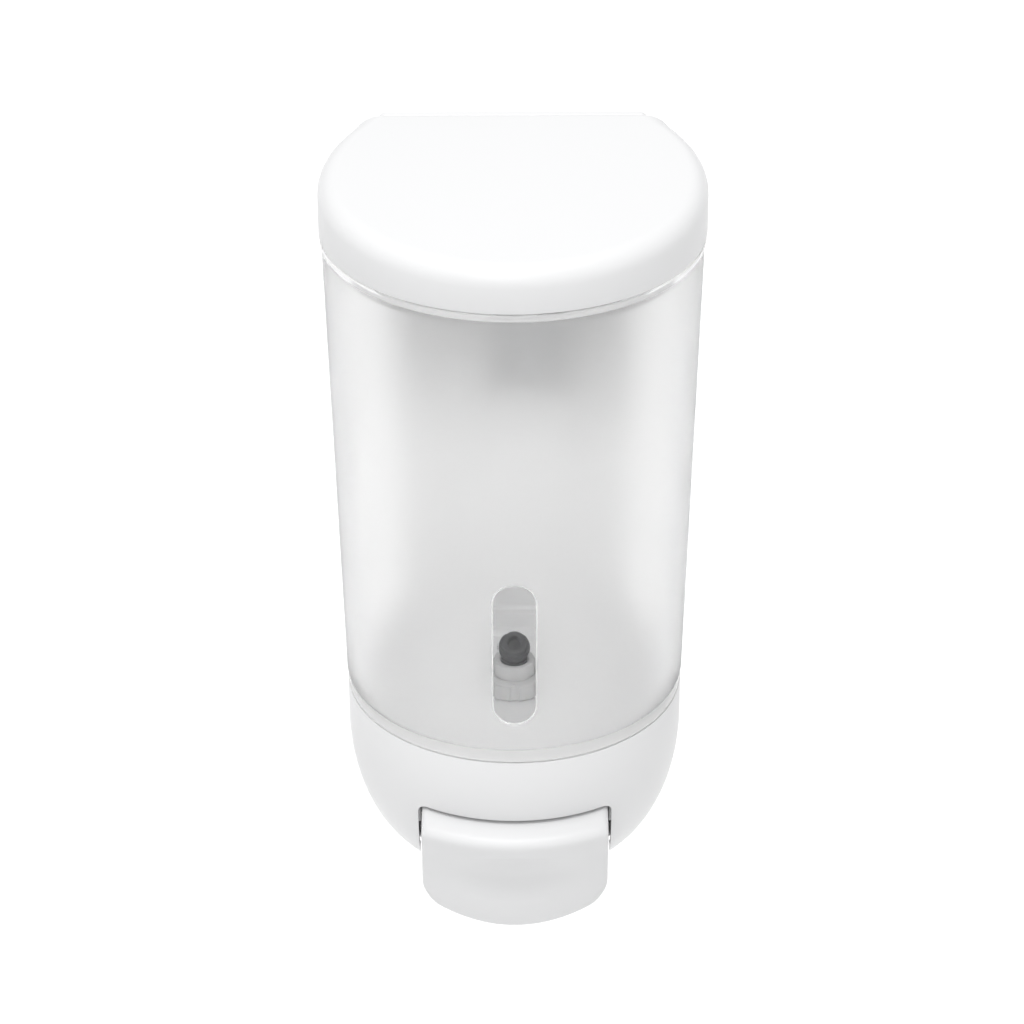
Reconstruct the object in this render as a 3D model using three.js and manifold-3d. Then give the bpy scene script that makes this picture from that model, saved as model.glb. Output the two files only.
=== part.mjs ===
// Wall mounted soap dispenser: frosted D-shaped tank, hinged lid, bowl-shaped base, push button and pump.
// Units are millimetres. +Z is up, +X is right, the wall is the plane y = 0 and the front faces -Y.
// The origin is the middle of the wall plate's back face.

import * as THREE from 'three'
import { mergeVertices } from 'three/addons/utils/BufferGeometryUtils.js'
import Module from 'manifold-3d'

const wasm = await Module()
wasm.setup()

// ---- driving dimensions ----

const gap = 0.3 // clearance kept between touching pieces
const cleanTo = 0.01 // slivers that the cuts leave are merged away, to this tolerance

// The plan shape shared by lid, tank and base: a circle cut flat at the back.
const planCentre = 35.6 // distance of the circle's centre from the wall
const backY = -4.3
const backCorner = 6
const arcSteps = 30
const cornerSteps = 4

const plate = { width: 70, height: 186.8, thick: 4, lip: 2.2, lipHeight: 10, corner: 5, holeR: 2.5, holeZ: 66 }

const tank = {
  topR: 48.9, bottomR: 45.1, wall: 2.2, bottomZ: -56, topZ: 77.1,
  rimR: 49.3, rimHeight: 2, mouthR: 44.8, mouthBackY: -9.1,
  collarR: 46.7, collarHeight: 5, collarBackY: -29,
  spigotR: 42.2, spigotBackY: -7.1, spigotBottomZ: -63, floorTopZ: -60.3, neckHoleR: 6,
}
const sightWindow = { width: 11, bottomZ: -43.6, topZ: -1.4, depth: 0.5 }

const lid = { radius: 49.5, wall: 2.2, rimZ: 77.4, topZ: 92.74, slope: 0.0725, round: 5, backRound: 2 }
const hinge = {
  y: -8.3, z: 89.8, pinR: 1.1, holeR: 1.4, knuckleR: 2.4, slabBack: 2.2, lugHalf: 21.6, notchHalf: 22, earEnd: 27,
}

const hook = {
  x: 5, topZ: 42, height: 24, stemHalf: 6, headHalf: 9, stemFrontY: -7, headFrontY: -9.2, rivetR: 1.5,
}
const pocket = { slack: 0.4, wall: 1.6, frontY: -10.7, bottomZ: -8.5 }

const base = {
  rimR: 45.1, wall: 2.4, rimZ: -56.3, straight: 11, cornerR: 20.4, cornerZ: 37, bottomZ: -101.5, ringSteps: 6,
}
const cutout = { halfWidth: 25.75, topZ: -74.8, backY: -50, corner: 2.5 }
const cover = { topZ: -99.5, frontY: -62, holeR: 7 }

const pivot = { y: -65.5, z: -80, pinR: 1.5, holeR: 1.8, lugR: 4, lugInner: 25.2, pinHalf: 27.4 }
const button = { halfWidth: 24.8, wall: 2.4, planArc: 47, lipArc: 57, bendFromY: -70, lipFromZ: -92, lipZ: -108 }
const fork = { slotHalf: 5.5, armHalf: 9.5, tipY: -33, slotY: -45.5, topZ: -96.5, thick: 1.8, crownR: 1.8 }

const pump = {
  y: -36, neckR: 5.5, neckBore: 4, neckTopZ: -51.6, flangeR: 12, flangeTopZ: -64.5, flangeThick: 2.2,
  barrelR: 9.5, barrelBore: 7.5, barrelBottomZ: -79.5, boreTopZ: -67.5,
}
const valve = {
  stalkR: 2.2, rise: 2.6, lean: 30, ringR: 4.4, ringHeight: 1.8, hatR: 3.5, hatHeight: 3.8, holeR: 1.9, holeDepth: 2,
}
const stem = { r: 3, bore: 1.5, topZ: -75, bottomZ: -98 }
const spring = { radius: 5.4, wire: 0.45, topZ: -83.2, bottomZ: -92.8, turns: 4 }
const collar = { r: 7.5, topZ: -93.6, bottomZ: -95.4 }

// Screws from below: base to tank bosses, and cover to base posts.
const baseScrews = { left: [-27, -32], right: [27, -32], rear: [0, -15] }
const coverScrews = { left: [-23.5, -21], right: [23.5, -21] }
const boss = { r: 3.6, holeR: 1.5, bottomZ: -69.5, tabTopZ: -69.8, tabThick: 2.4, tabHoleR: 1.6 }
const screw = { headR: 2.9, headHeight: 1.8, shankR: 1.2, length: 7 }

// ---- materials ----

const material = (color, roughness, metalness = 0, opacity = 1) =>
  new THREE.MeshStandardMaterial({ color, roughness, metalness, opacity, transparent: opacity < 1 })

const whitePlastic = () => material(0xf4f5f6, 0.28)
const plateWhite = () => material(0xeeeff0, 0.45)
const frostedPlastic = () => material(0xe9ecee, 0.45, 0, 0.45)
const clearPlastic = () => material(0xf2f6f8, 0.06, 0, 0.3)
const greyRubber = () => material(0x3c3f42, 0.6)
const steel = () => material(0xb9bcc0, 0.3, 1)
const screwSteel = () => material(0xc4c6c8, 0.35, 1)

// ---- solids: three.js geometry in, manifold booleans, three.js geometry out ----

function solid(geometry) {
  const bare = geometry.clone()
  bare.deleteAttribute('normal')
  bare.deleteAttribute('uv')
  const merged = mergeVertices(bare, 1e-4)
  return new wasm.Manifold(new wasm.Mesh({
    numProp: 3,
    vertProperties: new Float32Array(merged.attributes.position.array),
    triVerts: new Uint32Array(merged.index.array),
  }))
}

function geometryOf(body) {
  const mesh = body.simplify(cleanTo).getMesh()
  const geometry = new THREE.BufferGeometry()
  geometry.setAttribute('position', new THREE.BufferAttribute(new Float32Array(mesh.vertProperties), 3))
  geometry.setIndex(new THREE.BufferAttribute(new Uint32Array(mesh.triVerts), 1))
  geometry.computeVertexNormals()
  return geometry
}

const box = (x0, x1, y0, y1, z0, z1) =>
  solid(new THREE.BoxGeometry(x1 - x0, y1 - y0, z1 - z0).translate((x0 + x1) / 2, (y0 + y1) / 2, (z0 + z1) / 2))

const rodAlongX = (x0, x1, y, z, r, steps = 20) =>
  solid(new THREE.CylinderGeometry(r, r, x1 - x0, steps).rotateZ(Math.PI / 2).translate((x0 + x1) / 2, y, z))

const rodAlongY = (x, y0, y1, z, r, steps = 20) =>
  solid(new THREE.CylinderGeometry(r, r, y1 - y0, steps).translate(x, (y0 + y1) / 2, z))

const rodAlongZ = (x, y, z0, z1, r, steps = 20) =>
  solid(new THREE.CylinderGeometry(r, r, z1 - z0, steps).rotateX(Math.PI / 2).translate(x, y, (z0 + z1) / 2))

// A turned piece: profile is a list of [radius, z], standing on the axis x, y.
function turned(profile, x, y, steps = 28) {
  const points = profile.map(([r, z]) => new THREE.Vector2(r, z))
  if (profile[0][0] > 0) points.push(points[0].clone())
  return solid(new THREE.LatheGeometry(points, steps).rotateX(Math.PI / 2).translate(x, y, 0))
}

// ---- the shared plan shape ----

function arcPoints(x, y, r, from, to, steps) {
  return Array.from({ length: steps + 1 }, (_, i) => {
    const angle = from + (to - from) * i / steps
    return new THREE.Vector2(x + r * Math.cos(angle), y + r * Math.sin(angle))
  })
}

// A circle of this radius round the plan centre, cut flat at y = back, with both back corners rounded.
function planOutline(radius, back, corner) {
  const cornerY = back - corner
  const cornerX = Math.sqrt((radius - corner) ** 2 - (cornerY + planCentre) ** 2)
  const meet = Math.atan2(cornerY + planCentre, cornerX)
  return [
    ...arcPoints(0, -planCentre, radius, Math.PI - meet, 2 * Math.PI + meet, arcSteps).slice(0, -1),
    ...arcPoints(cornerX, cornerY, corner, meet, Math.PI / 2, cornerSteps),
    ...arcPoints(-cornerX, cornerY, corner, Math.PI / 2, Math.PI - meet, cornerSteps).slice(0, -1),
  ]
}

// Stacks the plan shape through rings of { z, radius, tilt }. Front and sides draw in; the back stays in its plane.
function planLoft(radius, back, rings, corner = backCorner) {
  const levels = rings.length - 1
  const shape = new THREE.Shape(planOutline(radius, back, corner))
  const geometry = new THREE.ExtrudeGeometry(shape, { depth: levels, steps: levels, bevelEnabled: false })
  const position = geometry.attributes.position
  for (let i = 0; i < position.count; i++) {
    const ring = rings[Math.round(position.getZ(i))]
    const scale = (ring.radius ?? radius) / radius
    const y = position.getY(i)
    const drawnY = y < -planCentre ? -planCentre + (y + planCentre) * scale : y
    position.setXYZ(i, position.getX(i) * scale, drawnY, ring.z + (ring.tilt ?? 0) * (drawnY + planCentre))
  }
  return solid(geometry)
}

// An outline in the y, z plane pushed along X from x0 to x1.
function sideExtrusion(points, x0, x1, steps = 1) {
  const shape = new THREE.Shape(points.map(([y, z]) => new THREE.Vector2(y, z)))
  const geometry = new THREE.ExtrudeGeometry(shape, { depth: x1 - x0, steps, bevelEnabled: false })
  const axes = new THREE.Matrix4().makeBasis(
    new THREE.Vector3(0, 1, 0), new THREE.Vector3(0, 0, 1), new THREE.Vector3(1, 0, 0))
  return geometry.applyMatrix4(axes).translate(x0, 0, 0)
}

const tankRadiusAt = (z) =>
  tank.bottomR + (tank.topR - tank.bottomR) * (z - tank.bottomZ) / (tank.topZ - tank.bottomZ)

// ---- wall side: plate, hook and its rivets ----

const bottomZ = -plate.height / 2
const topZ = plate.height / 2
const rivetZ = [hook.topZ - 6, hook.topZ - hook.height + 6]

function makeWallPlate() {
  const half = plate.width / 2
  const outline = [
    ...arcPoints(half - plate.corner, bottomZ + plate.corner, plate.corner, -Math.PI / 2, 0, 5),
    ...arcPoints(half - 2, topZ - 2, 2, 0, Math.PI / 2, 3),
    ...arcPoints(-half + 2, topZ - 2, 2, Math.PI / 2, Math.PI, 3),
    ...arcPoints(-half + plate.corner, bottomZ + plate.corner, plate.corner, Math.PI, 1.5 * Math.PI, 5),
  ]
  const slab = new THREE.ExtrudeGeometry(new THREE.Shape(outline), { depth: plate.thick, bevelEnabled: false })
  let body = solid(slab.rotateX(Math.PI / 2))
  body = body.subtract(box(-half - 1, half + 1, -plate.thick - 1, -plate.lip, topZ - plate.lipHeight, topZ + 1))
  for (const z of [plate.holeZ, -plate.holeZ]) {
    body = body.subtract(rodAlongY(0, -plate.thick - 1, 1, z, plate.holeR))
  }
  for (const z of rivetZ) body = body.subtract(rodAlongY(hook.x, -plate.thick - 1, 1, z, hook.rivetR + gap))
  return body
}

function makeHangerHook() {
  const low = hook.topZ - hook.height
  const stemBack = -plate.thick - gap
  let body = box(hook.x - hook.stemHalf, hook.x + hook.stemHalf, hook.stemFrontY, stemBack, low, hook.topZ)
  body = body.add(
    box(hook.x - hook.headHalf, hook.x + hook.headHalf, hook.headFrontY, hook.stemFrontY, low, hook.topZ))
  for (const z of rivetZ) body = body.subtract(rodAlongY(hook.x, -20, 0, z, hook.rivetR + gap))
  return body
}

function makeRivet(z) {
  const headBack = hook.headFrontY - gap
  return rodAlongY(hook.x, headBack - 0.1, -1, z, hook.rivetR)
    .add(rodAlongY(hook.x, headBack - 0.6, headBack, z, hook.rivetR + 1.1))
}

// ---- tank ----

function makeTank() {
  const rimBottomZ = tank.topZ - tank.rimHeight
  let outer = planLoft(tank.topR, backY, [
    { z: tank.bottomZ, radius: tank.bottomR }, { z: rimBottomZ + 0.5, radius: tankRadiusAt(rimBottomZ) }])
  outer = outer.add(planLoft(tank.rimR, backY, [{ z: rimBottomZ }, { z: tank.topZ }]))
  outer = outer.add(
    planLoft(tank.spigotR, tank.spigotBackY, [{ z: tank.spigotBottomZ }, { z: tank.bottomZ + 1 }], 4))
  const innerTop = tank.topR - tank.wall
  const innerAt = (z) => tankRadiusAt(z) - tank.wall
  const shelfZ = tank.bottomZ + tank.wall
  let inner = planLoft(innerTop, backY - tank.wall, [
    { z: shelfZ, radius: innerAt(shelfZ) }, { z: rimBottomZ, radius: innerAt(rimBottomZ) }], 4)
  inner = inner.add(planLoft(tank.mouthR, tank.mouthBackY, [{ z: rimBottomZ - 1 }, { z: tank.topZ + 9 }], 4))
  inner = inner.add(planLoft(tank.spigotR - 2, tank.spigotBackY - 2,
    [{ z: tank.floorTopZ }, { z: shelfZ + 0.5 }], 3))
  // The collar that the lid drops over, left off at the back where the lid's skirt swings through.
  const collar = planLoft(tank.collarR, tank.spigotBackY, [{ z: tank.topZ - 1 }, { z: tank.topZ + tank.collarHeight }])
    .subtract(box(-60, 60, tank.collarBackY, 0, tank.topZ, tank.topZ + 20))
  let body = outer.add(collar).subtract(inner)

  // Hinge lug: a slab on the rim with a knuckle for the pin.
  body = body.add(
    box(-hinge.lugHalf, hinge.lugHalf, hinge.y, hinge.y + hinge.slabBack, tank.topZ - 1, hinge.z))
  body = body.add(rodAlongX(-hinge.lugHalf, hinge.lugHalf, hinge.y, hinge.z, hinge.knuckleR))
  body = body.subtract(rodAlongX(-hinge.lugHalf - 1, hinge.lugHalf + 1, hinge.y, hinge.z, hinge.holeR))

  // Pocket in the back wall that the hook's head slides up into, entered from behind at its lower end.
  const half = hook.headHalf + pocket.slack
  const top = hook.topZ + gap
  const entryTop = hook.topZ - hook.height - 1.2
  body = body.add(box(hook.x - half - pocket.wall, hook.x + half + pocket.wall,
    pocket.frontY - pocket.wall, backY - 1, pocket.bottomZ - pocket.wall, top + pocket.wall))
  body = body.subtract(box(hook.x - half, hook.x + half, pocket.frontY, backY - tank.wall, pocket.bottomZ, top))
  body = body.subtract(box(hook.x - half, hook.x + half, pocket.frontY, 0, pocket.bottomZ, entryTop))
  const slot = hook.stemHalf + pocket.slack
  body = body.subtract(box(hook.x - slot, hook.x + slot, backY - tank.wall - 1, 0, pocket.bottomZ, top))

  // Sight window: a shallow stadium-shaped panel moulded into the front.
  const windowR = sightWindow.width / 2
  const windowY = -planCentre - tankRadiusAt(sightWindow.bottomZ) + sightWindow.depth
  const windowCut = rodAlongY(0, -100, windowY, sightWindow.bottomZ + windowR, windowR)
    .add(rodAlongY(0, -100, windowY, sightWindow.topZ - windowR, windowR))
    .add(box(-windowR, windowR, -100, windowY, sightWindow.bottomZ + windowR, sightWindow.topZ - windowR))
  const panelFace = planLoft(tank.topR - sightWindow.depth, backY, [
    { z: tank.bottomZ, radius: tank.bottomR - sightWindow.depth },
    { z: tank.topZ, radius: tank.topR - sightWindow.depth }])
  body = body.subtract(windowCut.subtract(panelFace))

  // Screw bosses under the floor, and the hole for the pump's neck.
  for (const [x, y] of Object.values(baseScrews)) {
    body = body.add(rodAlongZ(x, y, boss.bottomZ, tank.floorTopZ - 1, boss.r))
    body = body.subtract(rodAlongZ(x, y, boss.bottomZ - 1, boss.bottomZ + screw.length - 1.4, boss.holeR))
  }
  return body.subtract(rodAlongZ(0, pump.y, tank.spigotBottomZ - 1, tank.floorTopZ + 1, tank.neckHoleR))
}

// ---- lid ----

// Wall rings with a rounded top edge. The top slopes up towards the wall.
function lidRings(radius, bottomZ, topZ, round) {
  const edge = [0, 1, 2, 3, 4].map((i) => {
    const angle = i * Math.PI / 8
    return {
      z: topZ - round + round * Math.sin(angle),
      radius: radius - round * (1 - Math.cos(angle)),
      tilt: lid.slope,
    }
  })
  return [{ z: bottomZ }, ...edge]
}

function makeLid() {
  const outer = planLoft(lid.radius, backY, lidRings(lid.radius, lid.rimZ, lid.topZ, lid.round))
  const innerR = lid.radius - lid.wall
  const inner = planLoft(innerR, backY - lid.wall,
    lidRings(innerR, lid.rimZ - 1, lid.topZ - lid.wall, lid.round - lid.wall), 4)
  const backTopZ = lid.topZ + lid.slope * (backY + planCentre)
  const edgeRound = arcPoints(backY - lid.backRound, backTopZ - lid.backRound, lid.backRound, 0, Math.PI / 2, 4)
  const sideView = [[-100, lid.rimZ - 1], [backY, lid.rimZ - 1], ...edgeRound.map((p) => [p.x, p.y]), [-100, 100]]
  let body = outer.intersect(solid(sideExtrusion(sideView, -60, 60))).subtract(inner)

  // Back skirt: notched round the hinge lug, and raised so that it clears the rim as it swings.
  const notchTop = backTopZ - lid.wall - 0.6
  body = body.subtract(
    box(-hinge.notchHalf, hinge.notchHalf, backY - lid.wall - 0.5, 0, lid.rimZ - 2, notchTop))
  body = body.subtract(box(-60, 60, -9.5, 0, lid.rimZ - 2, lid.rimZ + 1))

  // Ears that hang from the top on either side of the lug and hold the pin.
  for (const side of [-1, 1]) {
    const ends = [side * (hinge.lugHalf + 0.7), side * hinge.earEnd].sort((a, b) => a - b)
    const r = hinge.knuckleR
    const ear = rodAlongX(...ends, hinge.y, hinge.z, r)
      .add(box(...ends, hinge.y - r, hinge.y + r, hinge.z, lid.topZ - 0.2))
    body = body.add(ear)
  }
  return body.subtract(rodAlongX(-hinge.earEnd - 1, hinge.earEnd + 1, hinge.y, hinge.z, hinge.holeR))
}

const makeHingePin = () => rodAlongX(-hinge.earEnd + 0.5, hinge.earEnd - 0.5, hinge.y, hinge.z, hinge.pinR)

// ---- base ----

// Outer radius of the bowl at height z: straight at first, then a quarter ellipse inwards.
function baseRadiusAt(z) {
  const drop = base.rimZ - z - base.straight
  if (drop <= 0) return base.rimR
  return base.rimR - base.cornerR * (1 - Math.sqrt(Math.max(0, 1 - (drop / base.cornerZ) ** 2)))
}

function baseRings(inset, fromZ, toZ) {
  const curveTopZ = base.rimZ - base.straight
  const heights = Array.from({ length: base.ringSteps + 1 }, (_, i) =>
    base.bottomZ + (curveTopZ - base.bottomZ) * (i / base.ringSteps) ** 1.6)
  return [...new Set([fromZ, ...heights, toZ])].map((z) => (
    { z, radius: baseRadiusAt(Math.max(z, base.bottomZ)) - inset }))
}

function makeBaseHousing() {
  const outer = planLoft(base.rimR, backY, baseRings(0, base.bottomZ, base.rimZ))
  const inner = planLoft(base.rimR - base.wall, backY - base.wall,
    baseRings(base.wall, base.bottomZ - 1, base.rimZ + 1), 4)
  let body = outer.subtract(inner)

  // Front cutout for the button, with rounded top corners.
  const c = cutout
  const low = base.bottomZ - 5
  const cut = box(-c.halfWidth, c.halfWidth, -100, c.backY, low, c.topZ - c.corner)
    .add(box(-c.halfWidth + c.corner, c.halfWidth - c.corner, -100, c.backY, low, c.topZ))
    .add(rodAlongY(-c.halfWidth + c.corner, -100, c.backY, c.topZ - c.corner, c.corner))
    .add(rodAlongY(c.halfWidth - c.corner, -100, c.backY, c.topZ - c.corner, c.corner))
  body = body.subtract(cut)

  // Lugs that hold the button's pin.
  for (const side of [-1, 1]) {
    const ends = [side * pivot.lugInner, side * 40].sort((a, b) => a - b)
    const lug = rodAlongX(...ends, pivot.y, pivot.z, pivot.lugR)
      .add(box(...ends, pivot.y - 1.5, pivot.y + 12, pivot.z - 1.5, pivot.z + 1.5))
    body = body.add(lug.intersect(outer))
    body = body.subtract(rodAlongX(...[side * 20, side * (pivot.pinHalf + gap)].sort((a, b) => a - b),
      pivot.y, pivot.z, pivot.holeR))
  }

  // Tabs for the three screws that hold the base to the tank's bosses.
  for (const [x, y] of Object.values(baseScrews)) {
    const toWall = x === 0 ? box(-4, 4, y, 0, boss.tabTopZ - boss.tabThick, boss.tabTopZ)
      : box(Math.min(x, x * 2), Math.max(x, x * 2), y - 4, y + 4, boss.tabTopZ - boss.tabThick, boss.tabTopZ)
    const tab = rodAlongZ(x, y, boss.tabTopZ - boss.tabThick, boss.tabTopZ, 4).add(toWall).intersect(outer)
    body = body.add(tab)
    body = body.subtract(rodAlongZ(x, y, boss.tabTopZ - 10, boss.tabTopZ + 1, boss.tabHoleR))
  }

  // Posts with ribs to the wall for the two cover screws.
  for (const [x, y] of Object.values(coverScrews)) {
    const top = cover.topZ + gap
    const rib = box(Math.min(x, x * 2), Math.max(x, x * 2), y - 1.5, y + 1.5, top, top + 9)
    body = body.add(rodAlongZ(x, y, top, top + 9, 3.2).add(rib).intersect(outer))
    body = body.subtract(rodAlongZ(x, y, top - 1, top + 6.5, boss.holeR))
  }
  return body
}

function makeBaseCover() {
  const radius = baseRadiusAt(base.bottomZ) - base.wall - 2 * gap
  let body = planLoft(base.rimR - base.wall - gap, backY - base.wall - gap, [
    { z: base.bottomZ, radius }, { z: cover.topZ, radius }], 4)
  body = body.subtract(box(-60, 60, -100, cover.frontY, base.bottomZ - 1, cover.topZ + 1))
  body = body.subtract(rodAlongZ(0, pump.y, base.bottomZ - 1, cover.topZ + 1, cover.holeR, 28))
  for (const [x, y] of Object.values(coverScrews)) {
    body = body.subtract(rodAlongZ(x, y, base.bottomZ - 1, cover.topZ + 1, boss.tabHoleR))
  }
  return body
}

function makeScrew([x, y], seatZ) {
  return turned([
    [0, seatZ - gap - screw.headHeight], [screw.headR, seatZ - gap - screw.headHeight], [screw.headR, seatZ - gap],
    [screw.shankR, seatZ - gap], [screw.shankR, seatZ + screw.length - 1], [0, seatZ + screw.length],
  ], x, y, 16)
}

// ---- button ----

// The front follows an arc in plan, and the lower lip an arc in the front view.
function bendButton(geometry) {
  const position = geometry.attributes.position
  for (let i = 0; i < position.count; i++) {
    const x = position.getX(i)
    const y = position.getY(i)
    const z = position.getZ(i)
    const front = Math.min(1, Math.max(0, (button.bendFromY - y) / 8))
    const low = Math.min(1, Math.max(0, (button.lipFromZ - z) / (button.lipFromZ - button.lipZ)))
    position.setXYZ(i, x, y + front * x * x / (2 * button.planArc), z + low * x * x / (2 * button.lipArc))
  }
  return solid(geometry)
}

function makeButton() {
  // Side view as y, z points: shelf, rounded ridge, scooped front, lip, and the cheek back to the pivot.
  const face = [
    [-79, -75.4], [-84, -76.5], [-86.1, -77.6], [-86.9, -79.4], [-86.2, -82.5], [-84.2, -87.5], [-82.9, -94],
    [-82.6, -100], [-82.2, -105], [-81.2, -107.3], [-79.4, button.lipZ],
  ]
  const cheek = [[-77.6, -107.2], [-77, -104], [-74, -98.3], [-58, -98.3], [-60, -84], [-61, -76.2]]
  const inner = [
    [-78, -77.9], [-83.6, -79.4], [-84.3, -80.6], [-81.8, -87], [-80.3, -94],
    [-79.9, -101], [-77.5, -112], [-50, -112], [-50, -77.9],
  ]
  const innerHalf = button.halfWidth - button.wall
  const w = button.halfWidth
  let body = bendButton(sideExtrusion([...face, ...cheek], -w, w, 12))
    .subtract(bendButton(sideExtrusion(inner, -innerHalf, innerHalf, 10)))

  // Web behind the pivot, and the fork that lifts the plunger's collar.
  const forkBottom = fork.topZ - fork.thick
  body = body.add(box(-innerHalf - 0.5, innerHalf + 0.5, -62, -51, forkBottom, fork.topZ))
  for (const side of [-1, 1]) {
    const ends = [side * fork.slotHalf, side * fork.armHalf].sort((a, b) => a - b)
    const crownZ = fork.topZ - 1
    body = body.add(box(...ends, -52, fork.tipY, forkBottom, fork.topZ))
    body = body.add(rodAlongX(...ends, pump.y, crownZ, fork.crownR, 24)
      .subtract(box(-30, 30, -60, -20, crownZ - 10, forkBottom)))
  }
  body = body.add(box(-fork.armHalf, fork.armHalf, -52, fork.slotY, forkBottom, fork.topZ))
  return body.subtract(rodAlongX(-40, 40, pivot.y, pivot.z, pivot.holeR))
}

const makeButtonPin = () => rodAlongX(-pivot.pinHalf, pivot.pinHalf, pivot.y, pivot.z, pivot.pinR)

// ---- pump ----

function makePumpBody() {
  const p = pump
  const flangeBottomZ = p.flangeTopZ - p.flangeThick
  return turned([
    [p.neckBore, p.neckTopZ], [p.neckBore, p.boreTopZ], [p.barrelBore, p.boreTopZ], [p.barrelBore, p.barrelBottomZ],
    [p.barrelR, p.barrelBottomZ], [p.barrelR, flangeBottomZ], [p.flangeR, flangeBottomZ],
    [p.flangeR, p.flangeTopZ], [p.neckR, p.flangeTopZ], [p.neckR, p.neckTopZ],
  ], 0, p.y)
}

// Clear ring nut with flutes for the fingers, on the tank's floor.
function makePumpNut() {
  const low = tank.floorTopZ + gap
  let body = turned([[pump.neckR + gap, low], [9, low], [9, low + 4.7], [pump.neckR + gap, low + 4.7]], 0, pump.y, 32)
  for (let i = 0; i < 8; i++) {
    const angle = i * Math.PI / 4
    body = body.subtract(rodAlongZ(10 * Math.cos(angle), pump.y + 10 * Math.sin(angle), low - 1, low + 6, 1.8, 12))
  }
  return body
}

function makePumpGasket() {
  const low = pump.flangeTopZ + gap
  const high = tank.spigotBottomZ - gap
  return turned([[6.3, low], [10.5, low], [10.5, high], [6.3, high]], 0, pump.y)
}

// Rubber one-way valve in the top of the neck: a plug with a short stalk, and a hat that leans forwards, made of
// a ring under a smaller ring with a blind hole.
function makeInletValve() {
  const v = valve
  const seat = pump.neckTopZ + gap
  const plug = turned([
    [0, seat - 4.5], [pump.neckBore - gap, seat - 4.5], [pump.neckBore - gap, seat], [v.stalkR, seat],
    [v.stalkR, seat + v.rise + 1], [0, seat + v.rise + 1],
  ], 0, pump.y, 24)
  const hat = turned([
    [0, 0], [v.ringR, 0], [v.ringR, v.ringHeight], [v.hatR, v.ringHeight], [v.hatR, v.hatHeight],
    [v.holeR, v.hatHeight], [v.holeR, v.hatHeight - v.holeDepth], [0, v.hatHeight - v.holeDepth],
  ], 0, 0, 24)
  return plug.add(hat.rotate([v.lean, 0, 0]).translate([0, pump.y, seat + v.rise]))
}

function makePumpCap() {
  const skirtR = pump.barrelR + gap
  const discTop = pump.barrelBottomZ - gap
  return turned([
    [3.5, discTop], [3.5, discTop - 2.6], [11, discTop - 2.6], [11, discTop + 5], [skirtR, discTop + 5],
    [skirtR, discTop],
  ], 0, pump.y)
}

function makePiston() {
  const bore = stem.r + gap
  const low = pump.barrelBottomZ + 0.2
  return turned([[bore, low], [7, low], [7, low + 0.9], [6, low + 0.9], [6, low + 4.4], [bore, low + 4.4]], 0, pump.y)
}

function makePistonSeal() {
  const low = pump.barrelBottomZ + 1.4
  return turned([[6.3, low], [7.2, low], [6.8, low + 1.4], [7.2, low + 2.8], [6.3, low + 2.8]], 0, pump.y)
}

const makePlungerStem = () => turned([
  [stem.bore, stem.bottomZ], [stem.r, stem.bottomZ], [stem.r, stem.topZ], [stem.bore, stem.topZ]], 0, pump.y)

function makeReturnSpring() {
  class Helix extends THREE.Curve {
    getPoint(t, target = new THREE.Vector3()) {
      const angle = 2 * Math.PI * spring.turns * t
      const z = spring.bottomZ + (spring.topZ - spring.bottomZ) * t
      return target.set(spring.radius * Math.cos(angle), pump.y + spring.radius * Math.sin(angle), z)
    }
  }
  const wire = new THREE.Shape(arcPoints(0, 0, spring.wire, 0, 2 * Math.PI, 6).slice(0, -1))
  return solid(new THREE.ExtrudeGeometry(wire, {
    steps: spring.turns * 14, extrudePath: new Helix(), bevelEnabled: false }))
}

function makeNozzle() {
  const bore = stem.r + gap
  return turned([
    [bore, collar.topZ], [bore, stem.bottomZ - gap], [1.6, stem.bottomZ - gap], [1.6, -104], [2.9, -104],
    [2.9, -107.6], [3.6, -107.6], [4.4, collar.bottomZ], [collar.r, collar.bottomZ], [collar.r, collar.topZ],
  ], 0, pump.y)
}

const makeNozzleValve = () => turned([[0.5, -104.3], [0.5, -107.2], [1.4, -107.2], [2.6, -105.6], [2.6, -104.3]],
  0, pump.y, 20)

// ---- assembly ----

const dispenser = new THREE.Group()

function addPiece(name, body, finish) {
  const mesh = new THREE.Mesh(geometryOf(body), finish)
  mesh.name = name
  dispenser.add(mesh)
}

addPiece('wall_plate', makeWallPlate(), plateWhite())
addPiece('hanger_hook', makeHangerHook(), steel())
addPiece('hook_rivet_upper', makeRivet(rivetZ[0]), steel())
addPiece('hook_rivet_lower', makeRivet(rivetZ[1]), steel())

addPiece('tank', makeTank(), frostedPlastic())
addPiece('lid', makeLid(), whitePlastic())
addPiece('hinge_pin', makeHingePin(), steel())

addPiece('base_housing', makeBaseHousing(), whitePlastic())
addPiece('base_cover', makeBaseCover(), whitePlastic())
for (const [side, place] of Object.entries(baseScrews)) {
  addPiece(`base_screw_${side}`, makeScrew(place, boss.tabTopZ - boss.tabThick), screwSteel())
}
for (const [side, place] of Object.entries(coverScrews)) {
  addPiece(`cover_screw_${side}`, makeScrew(place, base.bottomZ), screwSteel())
}

addPiece('button', makeButton(), whitePlastic())
addPiece('button_pin', makeButtonPin(), steel())

addPiece('pump_body', makePumpBody(), clearPlastic())
addPiece('pump_nut', makePumpNut(), clearPlastic())
addPiece('pump_gasket', makePumpGasket(), greyRubber())
addPiece('inlet_valve', makeInletValve(), greyRubber())
addPiece('pump_cap', makePumpCap(), whitePlastic())
addPiece('piston', makePiston(), whitePlastic())
addPiece('piston_seal', makePistonSeal(), greyRubber())
addPiece('plunger_stem', makePlungerStem(), whitePlastic())
addPiece('return_spring', makeReturnSpring(), steel())
addPiece('nozzle', makeNozzle(), whitePlastic())
addPiece('nozzle_valve', makeNozzleValve(), greyRubber())

export default dispenser
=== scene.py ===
import math

import bmesh
import bpy
from mathutils import Matrix, Vector


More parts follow.
